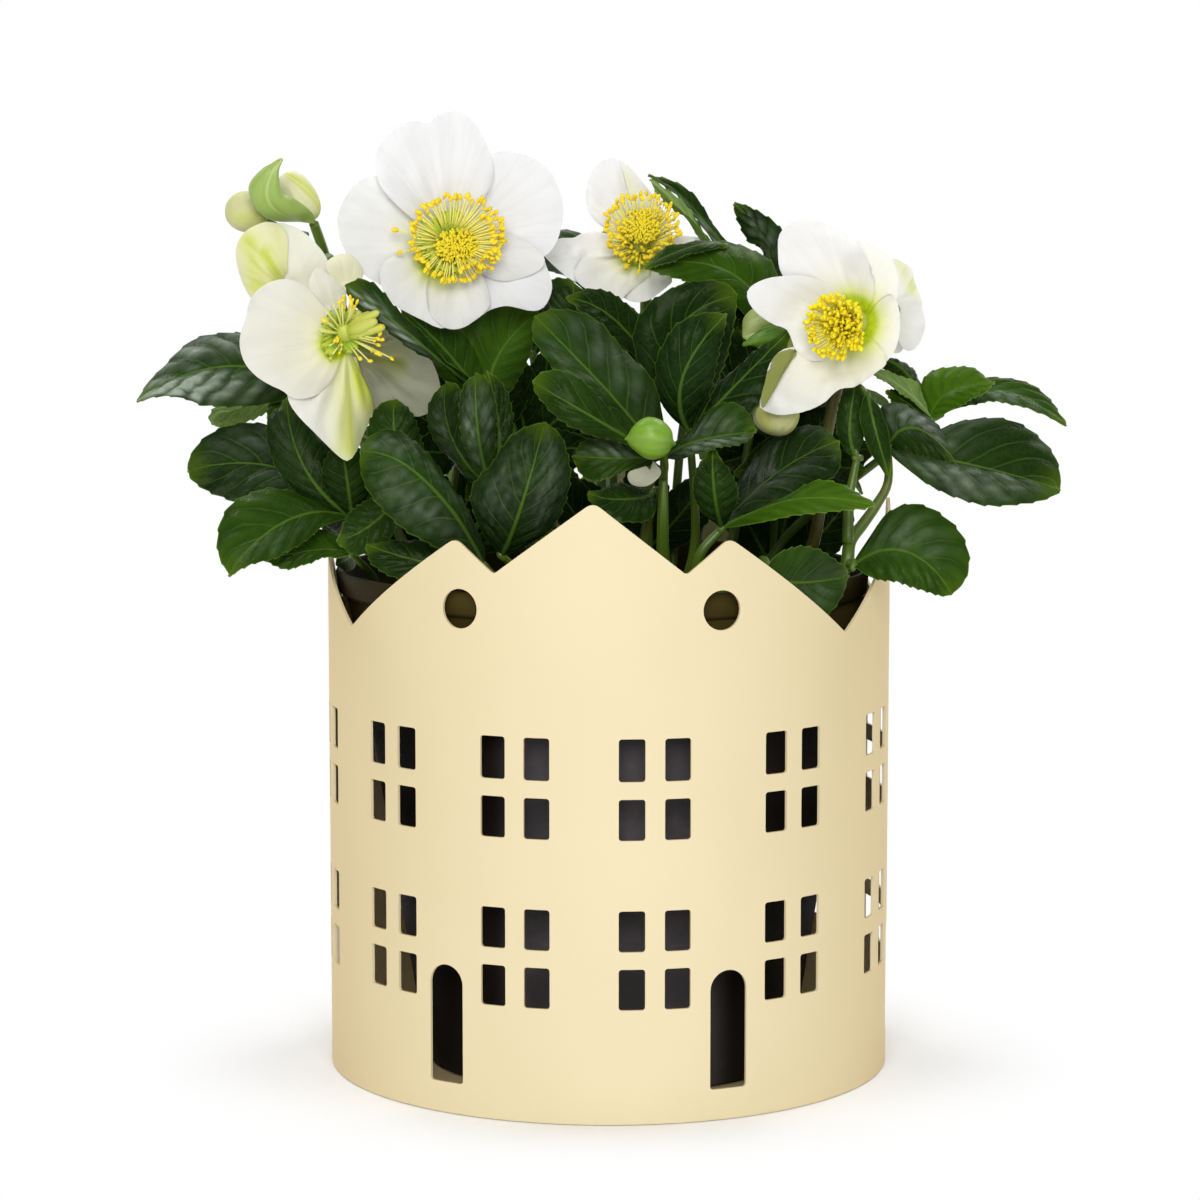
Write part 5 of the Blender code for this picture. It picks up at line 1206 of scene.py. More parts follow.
    # right side
    add("leaf_right_big", P(722, 528, -56), drawn(
        ((722, 528, -56), (714, 486, -66), (713, 449, -62), (693, 488, -64), (738, 490, -64)),
        ((722, 528, -56), (786, 468, -48), (839, 442, -40), (766, 428, -24), (815, 500, -58),
         {"tone": 0.1, "quilt": 0.5, "shine": [(0.5, 0.3, 0.2, 0.35, 0.16)], "left": [(728, 505), (737, 485), (746, 468), (760, 451), (775, 437), (790, 428.5), (806, 426), (824, 429)], "right": [(745, 522), (783, 503), (806, 491), (826, 482), (837, 473), (841, 458)]}),
        ((722, 528, -56), (806, 499, -68), (875, 505, -66), (818, 480, -62), (803, 515, -72),
         {"youth": 0.40, "tone": 1.0, "quilt": 0.3, "left": [(745, 517), (770, 506), (790, 495), (803, 486), (820, 481.5), (842, 485), (859, 494)], "right": [(750, 525), (778, 519), (804, 515), (829, 511), (850, 510), (865, 509)]}),
    ), route=[(30, -44, G), P(698, 560, -56)], stalk=2.2)
    add("stem_right_leaves", P(888, 448, -28), drawn(
        ((888, 448, -28), (975, 466, -42), (1060, 491, -46), (990, 416, -26), (975, 506, -52),
         {"tone": 0.7, "quilt": 1.0, "even": 0.35, "shine": [(0.45, 0.52, 0.32, 0.36, 0.55), (0.3, -0.3, 0.15, 0.3, 0.3), (0.75, 0.4, 0.15, 0.3, 0.35)], "left": [(905, 440), (924, 438), (943, 430), (963, 422), (988, 418), (1014, 423), (1036, 435), (1052, 452), (1059, 471)],
          "right": [(894, 458), (913, 474), (934, 488), (955, 498), (980, 503.5), (1006, 504.5), (1030, 501.5), (1047, 497)]}),
        ((888, 448, -28), (922, 432, -34), (956, 464, -40), (926, 406, -22), (905, 456, -38),
         {"tone": 0.4, "quilt": 0.6, "shine": [(0.5, -0.35, 0.28, 0.4, 0.5)], "left": [(880, 430), (881, 408), (899, 404), (921, 413), (938, 426), (951, 443)], "right": [(903, 452), (922, 456), (942, 461)]}),
    ), route=[(62, -12, G), (78, -24, 175), P(846, 566, -42), P(850, 542, -39), P(863, 524, -36), P(877, 504, -33), P(888, 482, -30)], stalk=2.6,
        more=[([P(848, 562, -42)], P(853, 566, -47), drawn(
            ((853, 566, -47), (914, 556, -52), (951, 595, -56), (944, 517, -42), (886, 588, -58),
         {"tone": 0.8, "youth": 0.12, "quilt": 1.2, "shine": [(0.45, -0.3, 0.25, 0.4, 0.20)], "left": [(856, 558), (863, 546), (875, 529), (890, 513), (908, 504.5), (926, 506.5), (943, 516.5), (959, 532), (968, 549), (969, 567), (963, 583)],
          "right": [(868, 576), (882, 580), (900, 583), (916, 588), (930, 593), (942, 596)]}))),
            ([P(848, 542, -41), P(849, 500, -39)], P(857, 458, -35), drawn(
                ((857, 458, -35), (850, 420, -33), (857, 378, -28), (836, 416, -31), (866, 420, -32), {"tone": 0.3, "rows": 36, "cols": 13})))])
    add("leaf_right_high", P(931, 420, 4), drawn(
        ((931, 420, 4), (955, 391, 0), (995, 384, -4), (939, 366, 10), (973, 408, -6),
         {"youth": 0.55, "tone": 1.0, "quilt": 0.5, "left": [(923, 406), (919, 390), (926, 376), (942, 368.5), (960, 366.5), (975, 369.5), (987, 378)], "right": [(938, 417), (950, 410), (965, 403), (980, 396), (990, 390)]}),
        ((931, 420, 4), (1005, 392, 10), (1066, 426, 4), (1018, 381, 16), (1000, 403, 6), {"tone": 0.7, "youth": 0.15, "shine": [(0.5, 0.4, 0.3, 0.5, 0.55)]}),
        ((931, 420, 4), (902, 388, -8), (868, 370, -12), (914, 376, -2), (892, 404, -12),
         {"under": True, "quilt": 0.2, "left": [(925, 402), (921, 384), (905, 377.5), (886, 372)], "right": [(920, 406), (908, 398), (894, 389), (880, 379)]}),
        ((931, 420, 4), (906, 404, -4), (886, 391, -8), (914, 376, -2), (892, 404, -8),
         {"tone": 0.8, "youth": 0.1, "left": [(922, 406), (908, 397), (895, 390)], "right": [(920, 418), (905, 414), (891, 403)]}),
        ((931, 420, 4), (902, 371, 14), (877, 360, 16), (915, 366, 20), (894, 377, 12),
         {"tone": 0.6, "left": [(926, 396), (917, 374), (904, 364), (890, 359)], "right": [(920, 402), (906, 388), (893, 378), (884, 369)]}),
    ), route=[(52, 8, G), (66, 6, 190)])
    add("leaf_right_bottom", P(769, 574, -80.0), drawn(
        ((769, 576, -80.4), (806, 582, -70.2), (849, 576, -50.8), (803, 545, -71.0), (818, 612, -67.7),
         {"youth": 0.08, "tone": 0.5, "quilt": 0.3, "wave": 0.1, "bow": 0.0, "shine": [(0.5, 0.4, 0.3, 0.4, 0.2)], "left": [(768, 566), (779, 553), (800, 546), (820, 550), (834, 559), (845, 567)], "right": [(782, 617), (806, 620), (828, 614), (842, 596)]}),
    ), route=[(40, -38, G), (46, -46, 174), (52, -66, 187)])

    # low inside, behind the stems
    add("leaf_inner_left", P(446, 560, 24), drawn(
        ((446, 560, 24), (440, 505, 18), (432, 466, 16), (422, 505, 16), (458, 500, 20)),
        ((446, 560, 24), (398, 538, 20), (346, 512, 16), (392, 514, 20), (398, 562, 20)),
        ((446, 560, 24), (466, 500, 26), (474, 455, 30), (448, 496, 24), (486, 506, 28)),
        ((446, 560, 24), (505, 515, 30), (545, 480, 34), (492, 495, 32), (518, 536, 28)),
    ), route=[(-34, 22, G), (-44, 23, 172)], tone=0.0, rows=36, cols=13, more=[
        ([P(446, 560, 24), P(452, 500, 14)], P(460, 446, 8), drawn(
            ((460, 446, 8), (430, 410, 2), (412, 380, 0), (420, 420, 0), (446, 396, 4)),
            ((460, 446, 8), (456, 400, 0), (446, 352, -2), (436, 396, 0), (476, 392, 2)),
            ((460, 446, 8), (500, 400, 6), (520, 356, 8), (482, 384, 6), (524, 410, 6)),
            ((460, 446, 8), (436, 452, -6), (406, 448, -12), (440, 430, -6), (436, 476, -6)),
            ((460, 446, 8), (432, 424, -4), (406, 408, -8), (438, 406, -2), (420, 446, -6)))),
        ([P(446, 560, 24), P(500, 500, 22)], P(530, 450, 16), drawn(
            ((530, 450, 16), (520, 400, 8), (516, 350, 6), (500, 396, 8), (542, 396, 8)),
            ((530, 450, 16), (540, 395, 14), (553, 338, 14), (520, 392, 14), (564, 396, 14)),
            ((530, 450, 16), (562, 448, 8), (604, 450, 4), (554, 428, 8), (556, 474, 8)),
            ((530, 450, 16), (575, 434, 10), (612, 440, 6), (572, 412, 10), (578, 454, 8)),
            ((530, 450, 16), (556, 420, 10), (588, 400, 8), (548, 404, 10), (568, 440, 8)),
            ((530, 450, 16), (556, 476, 6), (588, 496, 2), (566, 462, 6), (550, 492, 4)),
            ((530, 450, 16), (492, 470, 6), (466, 500, 2), (482, 452, 6), (504, 490, 4))))])
    add("leaf_inner_mid", P(640, 556, 26), drawn(
        ((640, 556, 26), (596, 510, 14), (566, 478, 12), (584, 526, 10), (608, 494, 12)),
        ((640, 556, 26), (646, 494, 36), (642, 448, 42), (622, 492, 36), (670, 498, 34)),
        ((640, 556, 26), (686, 508, 22), (712, 470, 24), (668, 494, 24), (706, 524, 20)),
    ), route=[(6, 28, G), (10, 28, 176)], tone=0.0, rows=36, cols=13, more=[
        ([P(640, 556, 26), P(640, 480, 20)], P(650, 404, 14), drawn(
            ((650, 404, 14), (650, 352, 8), (662, 300, 6), (634, 350, 8), (668, 346, 6)),
            ((650, 404, 14), (620, 360, 6), (596, 318, 2), (600, 362, 4), (640, 344, 6)),
            ((650, 404, 14), (638, 350, 4), (626, 304, 2), (622, 346, 4), (656, 342, 4)),
            ((650, 404, 14), (625, 432, 6), (600, 462, 4), (612, 418, 8), (638, 452, 4)))),
        ([P(640, 556, 26)], P(600, 540, 10), drawn(
            ((600, 540, 10), (572, 510, 0), (546, 470, -4), (556, 520, -2), (590, 490, -2)),
            ((600, 540, 10), (626, 520, 0), (650, 492, -4), (612, 506, -2), (640, 536, -2))))])
    add("leaf_inner_right", P(772, 566, 20), drawn(
        ((772, 566, 20), (742, 510, 22), (726, 462, 22), (722, 520, 20), (764, 502, 24)),
        ((772, 566, 20), (790, 500, 28), (796, 448, 30), (768, 496, 28), (814, 504, 26)),
        ((772, 566, 20), (822, 532, 20), (852, 492, 22), (806, 508, 22), (838, 552, 16)),
    ), route=[(56, 23, G), (58, 22, 168)], tone=0.0, rows=36, cols=13, more=[
        ([P(772, 566, 20), P(776, 500, 16)], P(784, 446, 10), drawn(
            ((784, 446, 10), (744, 420, 4), (702, 384, 2), (726, 434, 4), (758, 398, 4)),
            ((784, 446, 10), (742, 400, 4), (704, 344, 2), (722, 404, 4), (758, 380, 4)),
            ((784, 446, 10), (745, 456, 4), (696, 470, 0), (742, 438, 4), (744, 478, 2)),
            ((784, 446, 10), (772, 398, 2), (764, 350, 0), (752, 394, 2), (794, 394, 2)),
            ((784, 446, 10), (756, 378, 0), (736, 318, -2), (732, 370, -2), (778, 364, 0)),
            ((784, 446, 10), (762, 462, -2), (734, 472, -6), (764, 440, -2), (760, 486, -4)),
            ((784, 446, 10), (838, 450, 10), (876, 448, 8), (832, 428, 10), (838, 476, 10)),
            ((784, 446, 10), (824, 420, 6), (850, 382, 6), (806, 404, 6), (846, 430, 6)),
            ((784, 446, 10), (826, 464, 2), (866, 470, 2), (830, 446, 4), (826, 486, 0)),
            ((784, 446, 10), (752, 480, 0), (728, 514, -4), (736, 470, 0), (768, 498, -2))))])

    # back and sides, where the front doesn't reach
    back = [
        ("leaf_back_a", 140, 66, 210, 4, 40, 64, 24, 8, 14, 4),
        ("leaf_back_b", 146, 58, 254, 5, 66, 62, 26, 8, 10, 14),
        ("leaf_back_c", 178, 62, 231, 5, 54, 66, 28, 8, 16, 2),
        ("leaf_back_d", -152, 60, 250, 5, 64, 62, 26, 8, 10, 12),
        ("leaf_back_e", -142, 62, 207, 4, 46, 64, 24, 8, 14, 4),
        ("leaf_back_g", 99, 60, 229, 3, 20, 48, 20, 6, 8, 8),
        ("leaf_back_top", 186, 34, 270, 5, 78, 56, 25, 10, 6, 22),
    ]
    for name, heading, radius, height, count, spread, length, width, lift, droop, tilt in back:
        a = math.radians(heading)
        hub = np.array([radius * math.sin(a), -radius * math.cos(a), height])
        add(name, hub, fan(hub, heading, count, spread, length, width, lift, droop, tilt), share=0.7)


# ------------------------------------------------------------------ flowers
# centre u, v, depth, recession to the right, recession upward, forward curl at 40 mm
FLOWERS = {
    "a": (446, 242, -36, 0.30, 0.12, 7.0),
    "b": (343, 330, -58, 0.42, -0.10, 8.0),
    "c": (638, 246, 0, 0.10, 0.25, 9.0),
    "d": (856, 322, -34, -0.12, 0.10, 15.0),
    "e": (893, 310, 4, 0.45, 0.10, 2.0),
}


def depth_of(flower, u, v):
    u0, v0, d0, right, up, cup = flower
    x, z = (u - u0) * 0.355, (v0 - v) * 0.355
    return d0 + right * x + up * z - cup * (x * x + z * z) / 1600.0


def flower_axis(flower):
    return unit([flower[3], -1.0, flower[4]])


def sepal(form, flower, base, outline, rnd, layer=0.0, throat=None, green=1.0, reach=24.0, warm=0.0, lined=None, ruffle=0.5,
          pleat=0.16, curl=0.9, wave=0.6, bumps=(), rows=34, cols=53, thick=0.5, slot=0, cream=0.0, lean=(0.0, 0.0),
          glow=None):
    """One broad sepal drawn by its outline on the sketch, from one side of its claw round the tip to the other.
    A third number in the outline takes that place back by so many mm. Veins and pleats fan out from the claw.
    The throat is a place (u, v) from which a green flush fades over a reach."""
    line = np.array([(*p, 0.0)[:3] for p in outline], float)
    dense = smooth_route(list(line), 600)
    flat = dense[:, :2] - base
    bearing = np.unwrap(np.arctan2(flat[:, 1], flat[:, 0]))
    run = np.concatenate([[0], np.cumsum(np.linalg.norm(np.diff(dense[:, :2], axis=0), axis=1))])
    swing = np.concatenate([[0], np.cumsum(np.abs(np.diff(bearing)))])
    share = 0.6 * run / run[-1] + 0.4 * swing / max(swing[-1], 1e-6)
    pick = np.linspace(0, 1, cols)
    rim = np.stack([np.interp(pick, share, dense[:, k]) for k in range(3)], -1)
    turn = np.interp(pick, share, bearing)
    x = (turn - (turn.max() + turn.min()) / 2) / max((turn.max() - turn.min()) / 2, 1e-6)
    if abs(x[-1] - x[0]) < 1e-6:
        x = np.linspace(-1, 1, cols)
    s = 0.03 + 0.97 * np.linspace(0, 1, rows) ** 0.9
    S, X = np.meshgrid(s, x, indexing="ij")
    edge = np.broadcast_to(1 - np.abs(np.linspace(-1, 1, cols)) ** 6, S.shape)
    U = base[0] + (rim[None, :, 0] - base[0]) * S
    V = base[1] + (rim[None, :, 1] - base[1]) * S
    D = depth_of(flower, U, V) + layer * step(S, 0.0, 0.35) + rim[None, :, 2] * S ** 2.2
    slow, fine, crimp = Waves(rnd, 5, 0.5, 1.2), Waves(rnd, 5, 1.0, 2.0), Waves(rnd, 6, 1.8, 4.0)
    length = np.hypot(rim[:, 0] - base[0], rim[:, 1] - base[1])[None, :] * 0.355
    open_ = step(S * length, 3.0, 14.0)
    D = D + wave * slow(U / 70, V / 70) * open_ + 0.35 * wave * fine(U / 60, V / 60) * open_
    D = D + ruffle * crimp(U / 75, V / 75) * S ** 6 * open_
    D = D + pleat * np.cos(turn[None, :] * 17 + 1.6 * slow(U / 60, V / 60)) * open_ * (1 - 0.8 * step(S, 0.65, 1.0)) * edge
    D = D + curl * S ** 7 * open_ + lean[0] * (U - base[0]) + lean[1] * (V - base[1])
    for u, v, size, height in bumps:
        D = D + height * np.exp(-((U - u) ** 2 + (V - v) ** 2) / (size * size))
    grid = sketch_grid(U, V, D)
    if grid_normals(grid)[rows // 2, cols // 2] @ np.array([0, -1.0, 0]) < 0:
        grid, U, V, S, X = (q[:, ::-1] for q in (grid, U, V, S, X))
    throat = base if throat is None else throat
    away = np.hypot(U - throat[0], V - throat[1])
    flush = np.clip(1.7 * green * np.exp(-(away / reach) ** 3), 0, 1)
    tint = np.clip(warm + cream * np.exp(-(away / (glow or reach * 2.1)) ** 2), 0, 1)
    stripes = np.zeros_like(U)
    for u0, v0, u1, v1, size, amount in ([lined] if isinstance(lined, tuple) else lined or []):
        way = np.array([u1 - u0, v1 - v0], float)
        far = np.linalg.norm(way)
        way /= far
        t = (U - u0) * way[0] + (V - v0) * way[1]
        off = np.abs((U - u0) * way[1] - (V - v0) * way[0])
        stripes = np.maximum(stripes, amount * np.exp(-(off / size) ** 2) * step(t, -12, 6) * (1 - step(t, far * 0.85, far * 1.15)))
    grain = np.stack([S, X, np.full_like(U, rnd.uniform())], -1)
    kind = np.stack([flush, tint, stripes], -1)
    grid_solid_painted(form, grid, thick * (1 - 0.45 * S ** 6), grain, kind, slot)


def grid_solid_painted(form, grid, thick, grain, kind, slot):
    nr, nc = grid.shape[:2]
    grid_solid(form, grid, thick, grain, (0, 0, 0), (0, 0, 0), slot)
    n = nr * nc
    form.vectors["kind"][-1] = np.concatenate([kind.reshape(-1, 3)] * 2)


ANTHER = [(-0.95, 0.36), (-0.6, 0.66), (0.0, 0.78), (0.55, 0.66), (0.9, 0.36)]


def stamen(form, root, tip, rnd, bulge, axis, size=1.0):
    root, tip = np.asarray(root, float), np.asarray(tip, float)
    mid = (root + tip) / 2 + axis * bulge
    route = smooth_route([root, mid, tip], 7)
    tube(form, route, np.linspace(0.36, 0.24, 7), 6, 1)
    way = unit(unit(tip - mid) + rnd.normal(size=3) * 0.45)
    k = size * rnd.uniform(0.85, 1.2)
    turned(form, tip + way * 0.6 * k, way, [(a * k * 1.25, r * k) for a, r in ANTHER], 8, 0, lobes=2, depth=0.28)


def nectary(form, root, way, length, radius):
    """A short green trumpet with an open, slightly two-lipped mouth."""
    way = unit(way)
    rows = [(0.0, 0.40), (0.3, 0.75), (0.62, 0.95), (0.85, 1.08), (1.0, 1.20), (1.0, 0.98), (0.86, 0.80), (0.6, 0.55)]
    turned(form, np.asarray(root, float), way, [(a * length, r * radius) for a, r in rows], 12, 2)


def carpel(form, root, way, length, radius, bend):
    way = unit(way)
    body = [(0.0, 0.55), (0.12, 0.85), (0.32, 1.0), (0.52, 0.86), (0.66, 0.5), (0.74, 0.30)]
    root = np.asarray(root, float)
    turned(form, root, way, [(a * length, r * radius) for a, r in body], 12, 3)
    start = root + way * length * 0.72
    route = smooth_route([start, start + way * length * 0.25 + bend * 0.4, start + way * length * 0.45 + bend * 1.4], 8)
    tube(form, route, np.linspace(radius * 0.30, radius * 0.20, 8), 8, 3)


def place_on(flower, u, v, h):
    return P(u, v, depth_of(flower, u, v) - h)


def ring_of(form, flower, hub, axis, anthers, rnd, root_r=3.6, size=1.0):
    for u, v, h in anthers:
        tip = place_on(flower, u, v, h)
        out = tip - hub
        out = unit(out - axis * (out @ axis))
        root = hub + out * root_r * rnd.uniform(0.5, 1.0)
        stamen(form, root, tip, rnd, rnd.uniform(0.6, 2.2), axis, size)


def scatter(rnd, count, centre, radii, inner, outer, low, high, start=0.0, end=360.0):
    """Anther places (u, v, height) in an elliptical band, evenly spread round it."""
    out = []
    for k in range(count):
        a = math.radians(start + (end - start) * (k + rnd.uniform(-0.35, 0.35)) / count)
        r = math.sqrt(rnd.uniform(inner * inner, outer * outer))
        out.append((centre[0] + radii[0] * r * math.cos(a), centre[1] + radii[1] * r * math.sin(a), rnd.uniform(low, high)))
    return out


def young_anthers(form, flower, rnd, centre, radii, low, high, count, size=0.95):
    """The tight dome of unopened anthers in the middle."""
    golden = math.pi * (3 - math.sqrt(5))
    for k in range(count):
        r = math.sqrt((k + 0.5) / count)
        a = k * golden + rnd.uniform(-0.15, 0.15)
        u, v = centre[0] + radii[0] * r * math.cos(a), centre[1] + radii[1] * r * math.sin(a)
        h = low + (high - low) * math.sqrt(max(0.0, 1 - r * r)) + rnd.uniform(-0.3, 0.3)
        tip = place_on(flower, u, v, h)
        way = unit(np.array([(u - centre[0]) * 0.05, -1.0, -(v - centre[1]) * 0.05]) + rnd.normal(size=3) * 0.35)
        k2 = size * rnd.uniform(0.85, 1.15)
        turned(form, tip, way, [(q * k2 * 1.25, w * k2) for q, w in ANTHER], 8, 4, lobes=2, depth=0.25)


def spokes(form, hub, axis, rnd, start, end, count, inner=2.6, length=(5.5, 8.0), radius=0.95, lift=0.35):
    """Green nectary tubes that lie out from the middle like spokes, between two bearings (0 = right, 90 = up)."""
    for k in range(count):
        a = math.radians(start + (end - start) * (k + 0.5 + rnd.uniform(-0.3, 0.3)) / count)
        out = np.array([math.cos(a), 0.0, math.sin(a)])
        out = unit(out - axis * (out @ axis))
        nectary(form, hub + out * inner, out + axis * lift * rnd.uniform(0.6, 1.6), rnd.uniform(*length), radius)


def make_flower_a(m, petals, heart, rnd):
    f, hub_at = FLOWERS["a"], (450, 242)

    def put(base, outline, layer, **looks):
        sepal(petals, f, base, outline, rnd, layer, throat=looks.pop("throat", hub_at), **looks)

    put((452, 240), [(470, 225), (480, 190), (484, 164), (495, 153), (508, 152), (522, 154), (537, 161), (549, 171), (556, 183), (561, 196),
                     (563, 212), (561, 228), (556, 243), (545, 256), (520, 262), (480, 256)], 3.4, green=0.5, reach=16, cream=0.15)
    put((452, 246), [(455, 225), (410, 185), (378, 176), (362, 180), (350, 191), (341, 207), (338, 222), (341, 240), (348, 255), (358, 268), (372, 280),
                     (390, 286), (420, 276), (448, 262)], 4.6, green=0.7, reach=25, cream=0.5, warm=0.04, throat=(438, 248), glow=44)
    put((460, 248), [(470, 236), (510, 245), (540, 257), (547, 268), (552, 284), (550, 297), (543, 308), (532, 311), (518, 308), (505, 306), (490, 310),
                     (478, 316), (466, 300), (452, 262)], 3.0, green=0.35, reach=18, cream=0.25)
    put((448, 250), [(432, 246), (405, 254), (390, 258), (381, 268), (380, 280), (385, 294), (396, 306), (410, 314), (424, 321), (436, 327), (446, 327),
                     (456, 310), (456, 270)], 1.6, green=0.8, reach=21, cream=0.5, throat=(436, 262), glow=40)
    put((450, 252), [(434, 258), (428, 278), (425, 296), (429, 312), (438, 323), (449, 329), (462, 328), (474, 321), (485, 312), (490, 300), (482, 275),
                     (466, 256)], 0.6, green=0.7, reach=24, cream=0.4, throat=(440, 262), warm=0.05, glow=46)
    put((458, 244), [(470, 230), (495, 228), (520, 238), (538, 250), (545, 261), (538, 271), (522, 278), (505, 281), (485, 276), (466, 258)], 0.9,
        green=0.25, reach=14, cream=0.5, warm=0.10, pleat=0.1)
    put((448, 236), [(424, 228), (398, 206), (380, 185), (376, 166), (378, 150), (387, 138), (398, 127), (410, 121.5), (420, 121.5), (427, 124.5), (436, 117),
                     (446, 112.5), (458, 112), (468, 117), (477, 127), (484, 139), (489.5, 153), (493, 169), (491, 184), (484, 199), (470, 220)], -0.6,
        green=0.5, reach=16, cream=0.35, pleat=0.30, throat=(448, 236), bumps=[(462, 190, 16, 1.0)])

    axis = flower_axis(f)
    hub = place_on(f, 450, 243, 1.6)
    anthers = scatter(rnd, 62, (457, 238), (44, 41), 0.90, 1.06, 5, 9, -62, 232)
    anthers += scatter(rnd, 12, (457, 238), (44, 41), 0.92, 1.04, 5, 9, 232, 298)
    anthers += scatter(rnd, 30, (466, 240), (36, 36), 0.62, 0.85, 8, 12, -60, 110)
    anthers += [(397, 230, 3), (401, 252, 3), (436, 203, 7), (450, 200, 8)]
    ring_of(heart, f, hub, axis, anthers, rnd)
    young_anthers(heart, f, rnd, (457, 246), (22, 17), 6.5, 11.0, 190, 0.74)
    spokes(heart, hub, axis, rnd, 65, 285, 34, 2.4, (7.5, 10.5), 0.72, 0.42)
    spokes(heart, hub, axis, rnd, 60, 290, 16, 1.8, (4.0, 6.0), 0.9, 0.8)


def make_flower_b(m, petals, heart, rnd):
    f, hub_at = FLOWERS["b"], (340, 340)

    def put(base, outline, layer, **looks):
        sepal(petals, f, base, outline, rnd, layer, throat=looks.pop("throat", hub_at), **looks)

    # painted shade: this sepal takes slot 2, the copy of the sepal painted in shade
    put((352, 350), [(350, 334), (372, 324), (396, 330), (424, 350), (434, 366), (439, 380), (441, 395), (437, 407), (424, 415), (412, 416), (402, 406),
                     (390, 403), (372, 411), (362, 395), (352, 366)], 3.4, green=1.0, reach=15, warm=0.12, lined=(350, 346, 410, 358, 20, 0.9), pleat=0.9, glow=50,
        bumps=[(385, 385, 14, 2.4), (412, 372, 10, -1.6)], slot=2, lean=(0.02, 0.14), cream=0.0)
    put((346, 346), [(330, 350), (300, 372), (288, 390), (290, 404), (300, 418), (312, 430), (324, 442), (336, 454), (344, 460), (350, 460), (357, 450, 2),
                     (363, 435, 5), (370, 420, 7), (373, 406, 7), (370, 392, 6), (362, 376, 3), (356, 356)], 1.4, green=1.0, reach=17, warm=0.16,
        lined=[(363, 360, 360, 462, 27, 1.0)], pleat=1.0, cream=0.4, glow=50)
    put((334, 322), [(322, 318), (314, 300), (309, 284), (313, 272), (319, 268), (328, 274), (338, 283), (346, 296), (345, 310), (340, 320)], 3.6, green=0.5,
        reach=14, warm=0.30, cream=0.3)
    put((342, 338), [(334, 316), (322, 304), (312, 292), (300, 283), (286, 279), (271, 282), (257, 291), (249, 303), (246, 318), (241, 332), (240, 347),
                     (245, 363), (256, 376), (270, 385), (283, 391), (292, 398), (305, 398.5), (320, 393), (332, 380), (340, 362), (346, 348)], -0.6,
        green=1.0, reach=17.5, cream=0.55, warm=0.24, throat=(336, 344), glow=46, bumps=[(300, 330, 30, -0.8)])
    put((350, 296), [(336, 286), (328, 272), (327, 262), (335, 256), (345, 253.5), (353, 256), (360, 264), (363, 274), (358, 284), (354, 292)], 12.0,
        green=0.0, warm=0.7, cream=0.2)

    axis = flower_axis(f)
    hub = place_on(f, 343, 334, 1.5)
    anthers = [(326, 321, 7), (337, 338, 9), (340, 352, 8), (359, 358, 10), (369, 361, 10), (378, 353, 12), (391, 358, 10),
               (381, 340, 13), (334, 341, 9), (341, 345, 8), (380, 327, 14), (381, 333, 13), (376, 353, 12), (372, 351, 12)]
    anthers += scatter(rnd, 10, (348, 303), (12, 7), 0.2, 1.0, 7, 11)
    anthers += scatter(rnd, 4, (378, 342), (7, 10), 0.2, 1.0, 11, 14)
    ring_of(heart, f, hub, axis, anthers, rnd, size=0.86)
    spokes(heart, hub, axis, rnd, 25, 240, 34, 2.0, (5.5, 9.0), 0.50, 0.45)
    spokes(heart, hub, axis, rnd, 240, 335, 12, 1.8, (3.5, 5.5), 0.6, 0.5)
    # the sheaf of pale carpels, thick in the middle and pointed
    for u, v, near, wide in [(362, 309, 6, 1.5), (370, 313, 10, 1.9), (378, 312, 13, 1.9), (384, 327, 14, 2.0), (376, 321, 14, 2.2), (372, 332, 11, 1.7), (364, 336, 8, 1.4)]:
        tip = P(u, v, depth_of(f, u, v) - near)
        way, long = unit(tip - hub), np.linalg.norm(tip - hub)
        turned(heart, hub, way, [(0, 1.0), (long * 0.25, wide * 0.95), (long * 0.50, wide * 1.15), (long * 0.72, wide * 1.05), (long * 0.90, wide * 0.72),
                                 (long * 0.99, wide * 0.50), (long * 1.02, wide * 0.2)], 12, 3)
    # long pale filaments that have shed their anthers
    for u, v, near in [(318, 328, 5), (321, 331, 7), (322, 320, 6), (326, 311, 7), (333, 303, 8), (340, 300, 9), (329, 346, 6), (333, 354, 6)]:
        tip = P(u, v, depth_of(f, u, v) - near)
        tube(heart, smooth_route([hub, (hub + tip) / 2 + axis * 1.4, tip], 8), 0.30, 6, 1)


